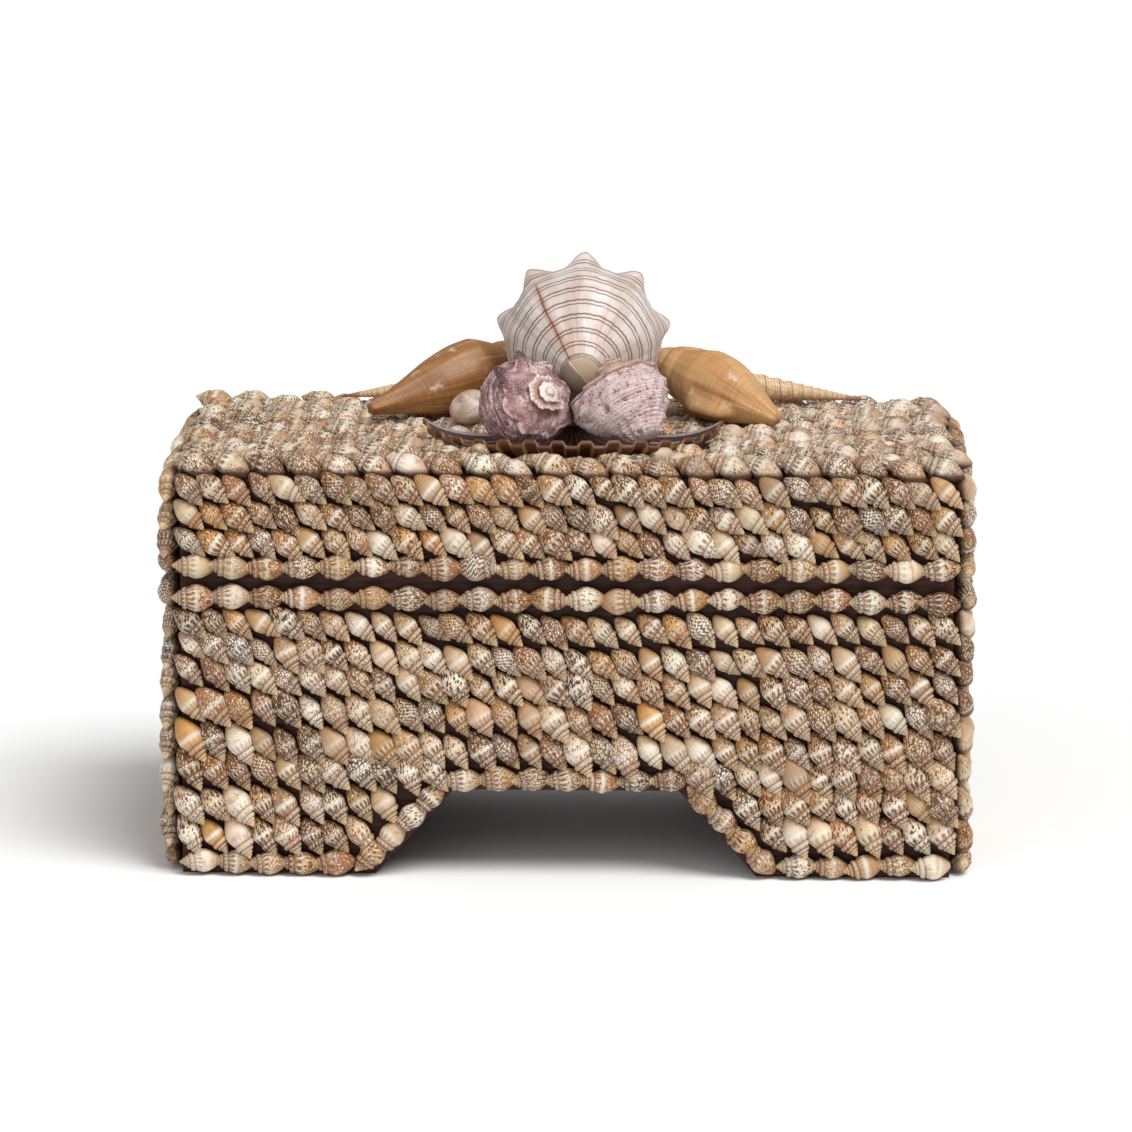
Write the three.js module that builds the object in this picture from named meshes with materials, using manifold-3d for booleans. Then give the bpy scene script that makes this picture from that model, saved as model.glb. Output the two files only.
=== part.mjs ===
// A lidded wooden box covered in rows of small glued shells, with a group of large shells on its lid.
// Lengths are in millimetres. X runs along the front, Y from front to back, Z up from the feet.
import * as THREE from "three";
import { mergeVertices } from "three/addons/utils/BufferGeometryUtils.js";
import Module from "manifold-3d";

const wasm = await Module();
wasm.setup();

// The wooden box and its lift-off lid
const BOX_WIDTH = 290;
const BOX_DEPTH = 135;
const BODY_HEIGHT = 114;
const LID_HEIGHT = 39;
const BOARD = 8;
const FLOOR_BOARD = 6;
const LID_TOP = BODY_HEIGHT + LID_HEIGHT;

// The arch between the feet, front and back
const ARCH_HEIGHT = 33;
const ARCH_TOP_WIDTH = 85;
const ARCH_FOOT_WIDTH = 144;

// The small shells: how far they stand off the wood and how close they lie
const SHELL_CREST = 7.8;
const SHELL_VALLEY = 2.2;
const SHELL_CROWN = 0.62;
const GLUE_LINE = 0.3;
const SLANT_PITCH = 9.6;
const BORDER_PITCH = 13.2;
const TOP_PITCH = 13.8;
const BORDER_ROW = 9;
const BODY_ROWS = 8;
const FOOT_ROWS = 2;
const LID_ROWS = 3;
const TOP_ROWS = 10;
const FLOOR_CLEARANCE = 0.6;
const RIM_CLEARANCE = 2.4;

// The scallop dish lies on bare wood, in a clearing of the lid's small shells
const SCALLOP_HINGE_X = 1.5;
const SCALLOP_HINGE_Y = 6;
const SCALLOP_RADIUS = 66;
const SCALLOP_HALF_ANGLE = THREE.MathUtils.degToRad(61);
const SCALLOP_RIBS = 14;
const SCALLOP_RIM_Z = LID_TOP + 10;
const SCALLOP_DEPTH = 9.2;
const SCALLOP_HALF_WIDTH = 56;
const SCALLOP_HALF_LENGTH = 33;
const SCALLOP_MIDDLE_Y = -26;
const SCALLOP_BEAK = 0.06;
const SCALLOP_CORNER = 0.01;
const SCALLOP_TIP_LIFT = 1.5;
const SCALLOP_WALL = 1.8;
const SCALLOP_WAVE = 0.9;
const CLEARING_RADIUS = 65;
const CLEARING_MARGIN = 3;

const group = new THREE.Group();

function material(color, roughness) {
  return new THREE.MeshStandardMaterial({ color, roughness, metalness: 0 });
}

const wood = material(0x2a1712, 0.45);
const smallShell = material(0xbda488, 0.5);
const conchShell = material(0xe6dac6, 0.45);
const whelkShell = material(0xb58d5a, 0.5);
const rockLook = material(0xa8828c, 0.55);
const scallopShell = material(0x8a4a3c, 0.45);
const turretShell = material(0xcda878, 0.45);
const moonShell = material(0xd6bfae, 0.4);

// Closed bodies, joined and cut
function solid(geometry) {
  const bare = geometry.clone();
  bare.deleteAttribute("normal");
  bare.deleteAttribute("uv");
  const welded = mergeVertices(bare, 1e-4);
  const vertProperties = new Float32Array(welded.attributes.position.array);
  const triVerts = new Uint32Array(welded.index.array);
  return new wasm.Manifold(new wasm.Mesh({ numProp: 3, vertProperties, triVerts }));
}

function geometryOf(body) {
  const mesh = body.getMesh();
  const geometry = new THREE.BufferGeometry();
  geometry.setAttribute("position", new THREE.BufferAttribute(mesh.vertProperties, 3));
  geometry.setIndex(new THREE.BufferAttribute(mesh.triVerts, 1));
  return geometry;
}

function skin(points, triangles) {
  const geometry = new THREE.BufferGeometry();
  geometry.setAttribute("position", new THREE.Float32BufferAttribute(points.flat(), 3));
  geometry.setIndex(triangles.flat());
  return geometry;
}

function add(name, geometry, look, parent = group) {
  const mesh = new THREE.Mesh(geometry, look);
  mesh.name = name;
  parent.add(mesh);
  return mesh;
}

function polygon(points) {
  return new THREE.Shape(points.map(([x, y]) => new THREE.Vector2(x, y)));
}

function prism(points, thickness) {
  return new THREE.ExtrudeGeometry(polygon(points), { depth: thickness, bevelEnabled: false });
}

// Boards
function board(name, size, centre) {
  const geometry = new THREE.BoxGeometry(...size);
  geometry.translate(...centre);
  add(name, geometry, wood);
}

function archedBoard(name, outerY) {
  const half = BOX_WIDTH / 2;
  const outline = [
    [-half, 0],
    [-ARCH_FOOT_WIDTH / 2, 0],
    [-ARCH_TOP_WIDTH / 2, ARCH_HEIGHT],
    [ARCH_TOP_WIDTH / 2, ARCH_HEIGHT],
    [ARCH_FOOT_WIDTH / 2, 0],
    [half, 0],
    [half, BODY_HEIGHT],
    [-half, BODY_HEIGHT],
  ];
  const geometry = prism(outline, BOARD);
  geometry.rotateX(Math.PI / 2);
  geometry.translate(0, outerY, 0);
  add(name, geometry, wood);
}

const sideDepth = BOX_DEPTH - 2 * BOARD;
const insideWidth = BOX_WIDTH - 2 * BOARD;
const rimHeight = LID_HEIGHT - BOARD;
const rimZ = BODY_HEIGHT + rimHeight / 2;
const sideX = (BOX_WIDTH - BOARD) / 2;
const frontY = (BOARD - BOX_DEPTH) / 2;
archedBoard("box_front_board", BOARD - BOX_DEPTH / 2);
archedBoard("box_back_board", BOX_DEPTH / 2);
board("box_left_board", [BOARD, sideDepth, BODY_HEIGHT], [-sideX, 0, BODY_HEIGHT / 2]);
board("box_right_board", [BOARD, sideDepth, BODY_HEIGHT], [sideX, 0, BODY_HEIGHT / 2]);
board("box_floor_board", [insideWidth, sideDepth, FLOOR_BOARD], [0, 0, ARCH_HEIGHT + FLOOR_BOARD / 2]);
board("lid_front_board", [BOX_WIDTH, BOARD, rimHeight], [0, frontY, rimZ]);
board("lid_back_board", [BOX_WIDTH, BOARD, rimHeight], [0, -frontY, rimZ]);
board("lid_left_board", [BOARD, sideDepth, rimHeight], [-sideX, 0, rimZ]);
board("lid_right_board", [BOARD, sideDepth, rimHeight], [sideX, 0, rimZ]);
board("lid_top_board", [BOX_WIDTH, BOX_DEPTH, BOARD], [0, 0, LID_TOP - BOARD / 2]);

// Rows of small shells, from the lowest up. A border row lies along the edge.
// A slanted row leans half a shell.
function borderRow(height, width) {
  return { height, count: Math.round(width / BORDER_PITCH), slanted: false };
}

function slantedRows(number, height, width, pitch = SLANT_PITCH) {
  const row = { height: height / number, count: Math.round(width / pitch), slanted: true };
  return Array.from({ length: number }, () => row);
}

// The corners of each shell's patch in a row, on its lower and its upper line
function patches(row, width, shifted) {
  const pitch = width / row.count;
  const lean = row.slanted ? 0.5 : 0;
  const upper = row.slanted && shifted ? -0.5 : 0;
  const last = row.count - 1;
  const at = (i, offset) => Math.round(pitch * (i + offset) * 1e4) / 1e4;
  return Array.from({ length: row.count }, (_, i) => ({
    upperLeft: i > 0 ? at(i, upper) : 0,
    upperRight: i < last ? at(i + 1, upper) : width,
    lowerLeft: i > 0 ? at(i, upper + lean) : 0,
    lowerRight: i < last ? at(i + 1, upper + lean) : width,
  }));
}

// A face of small shells side by side: each rises from its patch's edge to a crown near its wide end
function shellSheet(width, rows) {
  const points = [];
  const triangles = [];
  const levels = [0];
  rows.forEach((row) => levels.push(levels[levels.length - 1] + row.height));
  const cells = rows.map((row, k) => patches(row, width, (rows.length - k) % 2 === 1));
  const lines = levels.map((v, k) => {
    const below = k > 0 ? cells[k - 1].flatMap((c) => [c.upperLeft, c.upperRight]) : [];
    const above = k < rows.length ? cells[k].flatMap((c) => [c.lowerLeft, c.lowerRight]) : [];
    const places = [...new Set([...below, ...above])].sort((a, b) => a - b);
    return places.map((u) => ({ u, index: points.push([u, v, SHELL_VALLEY]) - 1 }));
  });
  const between = (line, from, to) => line.filter(({ u }) => u >= from && u <= to).map(({ index }) => index);
  cells.forEach((row, k) => {
    row.forEach((c) => {
      const lower = between(lines[k], c.lowerLeft, c.lowerRight);
      const upper = between(lines[k + 1], c.upperLeft, c.upperRight).reverse();
      const ring = [...lower, ...upper];
      const lowerMiddle = (c.lowerLeft + c.lowerRight) / 2;
      const upperMiddle = (c.upperLeft + c.upperRight) / 2;
      const crownU = lowerMiddle + (upperMiddle - lowerMiddle) * SHELL_CROWN;
      const crownV = levels[k] + rows[k].height * SHELL_CROWN;
      const crown = points.push([crownU, crownV, SHELL_CREST]) - 1;
      ring.forEach((p, i) => triangles.push([crown, p, ring[(i + 1) % ring.length]]));
    });
  });
  const height = levels[levels.length - 1];
  const first = (line) => line[0].index;
  const end = (line) => line[line.length - 1].index;
  const edges = [
    lines[0].map(({ index }) => index),
    lines.map(end),
    lines[lines.length - 1].map(({ index }) => index).reverse(),
    lines.map(first).reverse(),
  ];
  const foot = [[0, 0], [width, 0], [width, height], [0, height]].map(([u, v]) => points.push([u, v, 0]) - 1);
  edges.forEach((edge, side) => {
    const near = foot[side];
    const far = foot[(side + 1) % 4];
    triangles.push([near, far, edge[edge.length - 1]]);
    for (let i = edge.length - 1; i > 0; i--) {
      triangles.push([near, edge[i], edge[i - 1]]);
    }
  });
  triangles.push([foot[0], foot[3], foot[2]], [foot[0], foot[2], foot[1]]);
  return skin(points, triangles);
}

// Stands a sheet on an upright face: turn 0 is the front, and the turns go round by the right side
function onFace(name, sheet, face, start, z) {
  const side = new THREE.Group();
  side.rotation.z = (face.turn * Math.PI) / 2;
  group.add(side);
  const mesh = add(name, sheet, smallShell, side);
  mesh.rotation.x = Math.PI / 2;
  mesh.position.set(start - face.width / 2, -face.depth / 2 - GLUE_LINE, z);
}

// The box walls: slanted rows with a border row along the lid's seam, and a border row along the floor
const rowsAboveArch = BODY_ROWS - FOOT_ROWS;
const aboveArch = BODY_HEIGHT - ARCH_HEIGHT - BORDER_ROW - RIM_CLEARANCE;
const footHeight = ARCH_HEIGHT - FLOOR_CLEARANCE;
const footTopWidth = (BOX_WIDTH - ARCH_TOP_WIDTH) / 2;
const footWidth = (BOX_WIDTH - ARCH_FOOT_WIDTH) / 2;
const archSlope = (footTopWidth - footWidth) / ARCH_HEIGHT;
const footBase = footWidth + archSlope * FLOOR_CLEARANCE;
const footTop = footBase + archSlope * footHeight;
const archSheet = shellSheet(BOX_WIDTH, [
  ...slantedRows(rowsAboveArch, aboveArch, BOX_WIDTH),
  borderRow(BORDER_ROW, BOX_WIDTH),
]);
const footSheet = solid(
  shellSheet(footTop, [
    borderRow(BORDER_ROW, footTop),
    ...slantedRows(FOOT_ROWS, footHeight - BORDER_ROW, footTop),
  ]),
);
const leftFoot = [[0, 0], [footBase, 0], [footTop, footHeight], [0, footHeight]];
const rightFoot = [[footTop - footBase, 0], [footTop, 0], [footTop, footHeight], [0, footHeight]];
const leftFootSheet = geometryOf(footSheet.intersect(solid(prism(leftFoot, 2 * SHELL_CREST))));
const rightFootSheet = geometryOf(footSheet.intersect(solid(prism(rightFoot, 2 * SHELL_CREST))));
const sideSheet = shellSheet(BOX_DEPTH, [
  borderRow(BORDER_ROW, BOX_DEPTH),
  ...slantedRows(BODY_ROWS, aboveArch + footHeight - BORDER_ROW, BOX_DEPTH),
  borderRow(BORDER_ROW, BOX_DEPTH),
]);
const long = { turn: 0, width: BOX_WIDTH, depth: BOX_DEPTH };
const short = { turn: 1, width: BOX_DEPTH, depth: BOX_WIDTH };
const back = { ...long, turn: 2 };
const left = { ...short, turn: 3 };
for (const [side, face] of [["front", long], ["back", back]]) {
  onFace(`${side}_wall_shells`, archSheet, face, 0, ARCH_HEIGHT);
  onFace(`${side}_left_foot_shells`, leftFootSheet, face, 0, FLOOR_CLEARANCE);
  onFace(`${side}_right_foot_shells`, rightFootSheet, face, BOX_WIDTH - footTop, FLOOR_CLEARANCE);
}
onFace("right_wall_shells", sideSheet, short, 0, FLOOR_CLEARANCE);
onFace("left_wall_shells", sideSheet, left, 0, FLOOR_CLEARANCE);

// The lid: three slanted rows over a border row round its rim, and rows from front to back on its top
function rimSheet(width) {
  const slanted = slantedRows(LID_ROWS, LID_HEIGHT - BORDER_ROW, width);
  return shellSheet(width, [borderRow(BORDER_ROW, width), ...slanted]);
}

onFace("lid_front_shells", rimSheet(BOX_WIDTH), long, 0, BODY_HEIGHT);
onFace("lid_right_shells", rimSheet(BOX_DEPTH), short, 0, BODY_HEIGHT);
onFace("lid_back_shells", rimSheet(BOX_WIDTH), back, 0, BODY_HEIGHT);
onFace("lid_left_shells", rimSheet(BOX_DEPTH), left, 0, BODY_HEIGHT);

// A fan in plan about the scallop's hinge, front towards -Y
function fan(radius, margin, steps) {
  const arc = Array.from({ length: steps + 1 }, (_, i) => {
    const angle = SCALLOP_HALF_ANGLE * ((2 * i) / steps - 1);
    return [SCALLOP_HINGE_X + radius * Math.sin(angle), SCALLOP_HINGE_Y - radius * Math.cos(angle)];
  });
  return [[SCALLOP_HINGE_X, SCALLOP_HINGE_Y + margin], ...arc];
}

const topRows = solid(shellSheet(BOX_WIDTH, slantedRows(TOP_ROWS, BOX_DEPTH, BOX_WIDTH, TOP_PITCH)));
const clearing = prism(fan(CLEARING_RADIUS, CLEARING_MARGIN, 10), 2 * SHELL_CREST);
clearing.translate(BOX_WIDTH / 2, BOX_DEPTH / 2, -SHELL_VALLEY);
const topSheet = add("lid_top_shells", geometryOf(topRows.subtract(solid(clearing))), smallShell);
topSheet.position.set(-BOX_WIDTH / 2, -BOX_DEPTH / 2, LID_TOP);

// A smooth line through a few stations of [place, value]
function through(stations, x) {
  const last = stations.length - 1;
  const clamped = THREE.MathUtils.clamp(x, stations[0][0], stations[last][0]);
  const i = Math.min(last - 1, stations.findLastIndex(([place]) => place <= clamped));
  const grade = (k) => {
    const [a, b] = [stations[Math.max(0, k - 1)], stations[Math.min(last, k + 1)]];
    return (b[1] - a[1]) / (b[0] - a[0]);
  };
  const [x0, y0] = stations[i];
  const [x1, y1] = stations[i + 1];
  const span = x1 - x0;
  const t = (clamped - x0) / span;
  const rise = t * t * (3 - 2 * t);
  const ease = span * (grade(i) * t * (1 - t) * (1 - t) - grade(i + 1) * t * t * (1 - t));
  return y0 + (y1 - y0) * rise + ease;
}

// A coiled shell: its radius at a distance from the apex and an angle round the axis. Towards the apex
// each whorl is the last one shrunk by its growth, with a suture below a shoulder. The body runs on from
// the shoulder to the canal.
function coilRadius(shell, reach, angle) {
  const turn = angle / (2 * Math.PI);
  const toShoulder = (reach - shell.suture) / (shell.shoulder - shell.suture);
  const toCanal = (shell.length - reach) / (shell.length - shell.shoulder);
  const onRamp = 1 + (shell.bodyTwist - 1) * toShoulder;
  const onBody = shell.bodyTwist * toCanal;
  const twist = reach <= shell.suture ? 1 : reach < shell.shoulder ? onRamp : onBody;
  const shrink = shell.growth ** (-twist * turn);
  const grown = Math.min(reach / shrink, shell.length);
  const whorl = Math.log(grown / shell.shoulder) / Math.log(shell.growth);
  const knobPlace = (whorl - Math.min(0, Math.round(whorl))) / shell.knobSpread;
  const ridge = Math.cos((shell.knobs * (angle - shell.knobStart)) / 2) ** 2;
  const knob = shell.knobHeight * (grown / shell.shoulder) * ridge * Math.exp(-knobPlace * knobPlace);
  const phase = whorl - Math.floor(whorl);
  const rampLength = Math.log(shell.shoulder / shell.suture) / Math.log(shell.growth);
  const ramp = phase > 1 - rampLength ? (phase - 1 + rampLength) / rampLength : 1 - phase / (1 - rampLength);
  const full = shell.radius / shell.shoulder;
  const spire = grown * (shell.sutureSlope + (full - shell.sutureSlope) * ramp);
  const base = whorl > 0 ? through(shell.body, grown) : spire;
  return (base + knob) * shrink;
}

// Rings for a coiled shell: even steps down the body, then a few to each shrinking whorl of the spire
function ringsOf(shell) {
  const body = Array.from({ length: shell.bodyRings }, (_, i) => {
    return shell.length + (shell.shoulder - shell.length) * (i / shell.bodyRings);
  });
  const spire = Array.from({ length: shell.spireRings }, (_, i) => {
    return shell.shoulder * shell.growth ** (-i / shell.ringsPerWhorl);
  });
  return [...body, ...spire];
}

function coiledShell(shell) {
  const { sides } = shell;
  const reaches = ringsOf(shell);
  const points = [];
  const triangles = [];
  const mouth = 2 * Math.PI - shell.lip;
  reaches.forEach((reach) => {
    for (let j = 0; j < sides; j++) {
      const angle = (2 * Math.PI * j) / sides;
      const blend = THREE.MathUtils.smoothstep(angle, mouth, 2 * Math.PI);
      const coil = coilRadius(shell, reach, angle);
      const radius = coil + (coilRadius(shell, reach, 0) - coil) * blend;
      points.push([radius * Math.cos(angle), radius * Math.sin(angle), shell.shoulder - reach]);
    }
  });
  const canal = points.push([0, 0, shell.shoulder - reaches[0]]) - 1;
  const apex = points.push([0, 0, shell.shoulder]) - 1;
  const lastRing = (reaches.length - 1) * sides;
  for (let j = 0; j < sides; j++) {
    const next = (j + 1) % sides;
    triangles.push([canal, next, j], [apex, lastRing + j, lastRing + next]);
    for (let ring = 0; ring < lastRing; ring += sides) {
      const [a, b, c, d] = [ring + j, ring + next, ring + sides + next, ring + sides + j];
      triangles.push([a, b, c], [a, c, d]);
    }
  }
  return skin(points, triangles);
}

// Sets a shell down: its shoulder at `place`, its apex along `towards`, rolled about its own axis
function setDown(name, geometry, look, place, towards, roll = 0, size = 1) {
  const mesh = add(name, geometry, look);
  mesh.scale.setScalar(size);
  mesh.quaternion.setFromUnitVectors(new THREE.Vector3(0, 0, 1), new THREE.Vector3(...towards).normalize());
  mesh.rotateZ(roll);
  mesh.position.set(...place);
  return mesh;
}

// Flattens the underside of a shell that lies on its mouth
function restFlat(mesh, level) {
  mesh.updateMatrixWorld(true);
  const toLocal = mesh.matrixWorld.clone().invert();
  const { position } = mesh.geometry.attributes;
  const point = new THREE.Vector3();
  for (let i = 0; i < position.count; i++) {
    point.fromBufferAttribute(position, i).applyMatrix4(mesh.matrixWorld);
    point.z = Math.max(point.z, level);
    point.applyMatrix4(toLocal);
    position.setXYZ(i, point.x, point.y, point.z);
  }
}

const turned = THREE.MathUtils.degToRad;

// The striped conch
const conch = {
  length: 93,
  shoulder: 50,
  suture: 41,
  radius: 28.2,
  sutureSlope: 0.4,
  growth: 1.62,
  bodyTwist: 0.02,
  knobs: 9,
  knobStart: 0,
  knobHeight: 4.6,
  knobSpread: 0.2,
  lip: 0.9,
  body: [[50, 28.2], [56, 30.2], [64, 28.6], [72, 23.8], [83, 14.8], [93, 7.6]],
  bodyRings: 6,
  spireRings: 10,
  ringsPerWhorl: 2.5,
  sides: 18,
};
setDown("conch", coiledShell(conch), conchShell, [4.6, 16, 192.8], [0, 0.983, 0.185], turned(-89));

// The two whelks
const whelk = {
  length: 88,
  shoulder: 40,
  suture: 35,
  radius: 14,
  sutureSlope: 0.3,
  growth: 1.4,
  bodyTwist: 0.1,
  knobs: 0,
  knobStart: 0,
  knobHeight: 0,
  knobSpread: 0.2,
  lip: 0.9,
  body: [[40, 14], [48, 13.6], [58, 11.4], [68, 8], [78, 4.8], [88, 2.2]],
  bodyRings: 6,
  spireRings: 7,
  ringsPerWhorl: 2.5,
  sides: 13,
};
const shortWhelk = {
  ...whelk,
  length: 80,
  radius: 14.6,
  sutureSlope: 0.31,
  body: [[40, 14.6], [48, 14.2], [57, 11.8], [66, 8], [74, 4.8], [80, 2.4]],
};
setDown("left_whelk", coiledShell(whelk), whelkShell, [-38, 27, 175.7], [0.81, 0.554, 0.2]);
const rightWhelk = setDown(
  "right_whelk", coiledShell(shortWhelk), whelkShell, [54.7, 20.1, 172], [-0.62, 0.766, 0.17], 0, 0.95);
restFlat(rightWhelk, LID_TOP + 8.2);

// The two pink rock shells, short and broad with a knobbed shoulder
const rockShell = {
  length: 37,
  shoulder: 12,
  suture: 9,
  radius: 14,
  sutureSlope: 0.8,
  growth: 1.75,
  bodyTwist: 0.2,
  knobs: 8,
  knobStart: 0,
  knobHeight: 2.2,
  knobSpread: 0.22,
  lip: 0.9,
  body: [[12, 14], [17, 16.2], [22, 16.6], [28, 13.8], [33, 9.4], [37, 5.5]],
  bodyRings: 5,
  spireRings: 5,
  ringsPerWhorl: 2.5,
  sides: 16,
};
const rockSkin = coiledShell(rockShell);
setDown("left_rock_shell", rockSkin, rockLook, [-12.8, -42, 178], [0.55, -0.724, 0.405], 0, 1.06);
setDown("right_rock_shell", rockSkin, rockLook, [18.6, -34, 183], [-0.42, 0.52, 0.744]);

// The two turret shells, long cones of many rounded whorls
function turretSkin({ length, radius, growth, whorls, waist }, sides) {
  const rings = Array.from({ length: 2 * whorls + 1 }, (_, i) => length / growth ** (i / 2));
  const profile = rings.map((reach, i) => {
    const round = i % 2 === 1 ? 1 : waist;
    return new THREE.Vector2((radius * reach * round) / length, length - reach);
  });
  const outline = [new THREE.Vector2(0, 0), ...profile, new THREE.Vector2(0, length)];
  const geometry = new THREE.LatheGeometry(outline, sides);
  geometry.rotateX(Math.PI / 2);
  return geometry;
}

const turret = { length: 71, radius: 8.8, growth: 1.16, whorls: 11, waist: 0.88 };
setDown("left_turret", turretSkin(turret, 6), turretShell, [-22, 52, 169.4], [-1, 0.02, -0.115]);
setDown("right_turret", turretSkin(turret, 6), turretShell, [46, 52, 169.4], [1, 0.02, -0.115]);

// The small moon snail
const MOON_RADIUS = 8.2;
const moon = new THREE.SphereGeometry(MOON_RADIUS, 10, 6);
moon.scale(1, 1, 0.92);
setDown("moon_snail", moon, moonShell, [-38, -4, 168.7], [-0.3, -0.5, 0.8]);

// The scallop dish: a ribbed fan, hollow side up, its hinge under the conch
function scallopSkin(columns, steps) {
  const points = [];
  const triangles = [];
  const at = (i, k, side) => (k * (columns + 1) + i) * 2 + side;
  for (let k = 0; k <= steps; k++) {
    for (let i = 0; i <= columns; i++) {
      const across = (2 * i) / columns - 1;
      const angle = SCALLOP_HALF_ANGLE * across;
      const out = SCALLOP_BEAK + (1 - SCALLOP_BEAK) * (k / steps) ** 0.6;
      const reach = SCALLOP_RADIUS * out * (1 - SCALLOP_CORNER * across ** 8);
      const x = reach * Math.sin(angle);
      const y = SCALLOP_HINGE_Y - reach * Math.cos(angle);
      const fromMiddle = (x / SCALLOP_HALF_WIDTH) ** 2 + ((y - SCALLOP_MIDDLE_Y) / SCALLOP_HALF_LENGTH) ** 2;
      const dish = Math.max(0, 1 - fromMiddle ** 2);
      const wave = SCALLOP_WAVE * out * (i % 4 < 2 ? 1 : -1);
      const lift = SCALLOP_TIP_LIFT * out * across ** 4;
      const z = SCALLOP_RIM_Z - SCALLOP_DEPTH * dish + wave + lift;
      points.push([SCALLOP_HINGE_X + x, y, z], [SCALLOP_HINGE_X + x, y, z + SCALLOP_WALL]);
    }
  }
  const quad = (a, b, c, d) => triangles.push([a, b, c], [a, c, d]);
  for (let k = 0; k < steps; k++) {
    for (let i = 0; i < columns; i++) {
      quad(at(i, k, 1), at(i, k + 1, 1), at(i + 1, k + 1, 1), at(i + 1, k, 1));
      quad(at(i, k, 0), at(i + 1, k, 0), at(i + 1, k + 1, 0), at(i, k + 1, 0));
    }
    quad(at(0, k, 0), at(0, k + 1, 0), at(0, k + 1, 1), at(0, k, 1));
    quad(at(columns, k, 0), at(columns, k, 1), at(columns, k + 1, 1), at(columns, k + 1, 0));
  }
  for (let i = 0; i < columns; i++) {
    quad(at(i, 0, 0), at(i, 0, 1), at(i + 1, 0, 1), at(i + 1, 0, 0));
    quad(at(i, steps, 0), at(i + 1, steps, 0), at(i + 1, steps, 1), at(i, steps, 1));
  }
  return skin(points, triangles);
}

add("scallop", scallopSkin(4 * SCALLOP_RIBS - 3, 3), scallopShell);

export default group;
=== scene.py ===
"""A lidded box covered in rows of small glued shells, with a group of large shells on its lid."""

import math
from dataclasses import dataclass, replace
from types import SimpleNamespace

import bpy
import numpy as np
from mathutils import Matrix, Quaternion, Vector, noise


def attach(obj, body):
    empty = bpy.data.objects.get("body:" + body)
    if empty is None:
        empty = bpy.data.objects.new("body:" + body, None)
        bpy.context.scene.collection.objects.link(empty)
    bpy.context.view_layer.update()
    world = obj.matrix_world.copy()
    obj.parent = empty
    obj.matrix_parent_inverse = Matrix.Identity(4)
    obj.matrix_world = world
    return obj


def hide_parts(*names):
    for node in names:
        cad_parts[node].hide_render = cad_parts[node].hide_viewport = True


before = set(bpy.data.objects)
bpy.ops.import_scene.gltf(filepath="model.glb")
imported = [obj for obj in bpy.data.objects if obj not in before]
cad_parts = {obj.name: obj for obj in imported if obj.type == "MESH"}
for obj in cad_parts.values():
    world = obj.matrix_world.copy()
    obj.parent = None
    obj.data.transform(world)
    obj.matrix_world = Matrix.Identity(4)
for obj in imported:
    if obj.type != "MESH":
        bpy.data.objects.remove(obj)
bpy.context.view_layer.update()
chance = np.random.default_rng(11)

MM = 0.001
TURN = 2 * math.pi


# Materials

# The colour sockets of a Mix node
MIX_SHARE, MIX_FIRST, MIX_SECOND, MIX_COLOUR = 0, 6, 7, 2


class Wire:
    """An output in a material's node tree, which sums and products can be made of."""

    def __init__(self, graph, socket):
        self.graph = graph
        self.socket = socket

    def __add__(self, other):
        return self.graph.math("ADD", self, other)

    def __sub__(self, other):
        return self.graph.math("SUBTRACT", self, other)

    def __rsub__(self, other):
        return self.graph.math("SUBTRACT", other, self)

    def __mul__(self, other):
        return self.graph.math("MULTIPLY", self, other)


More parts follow.
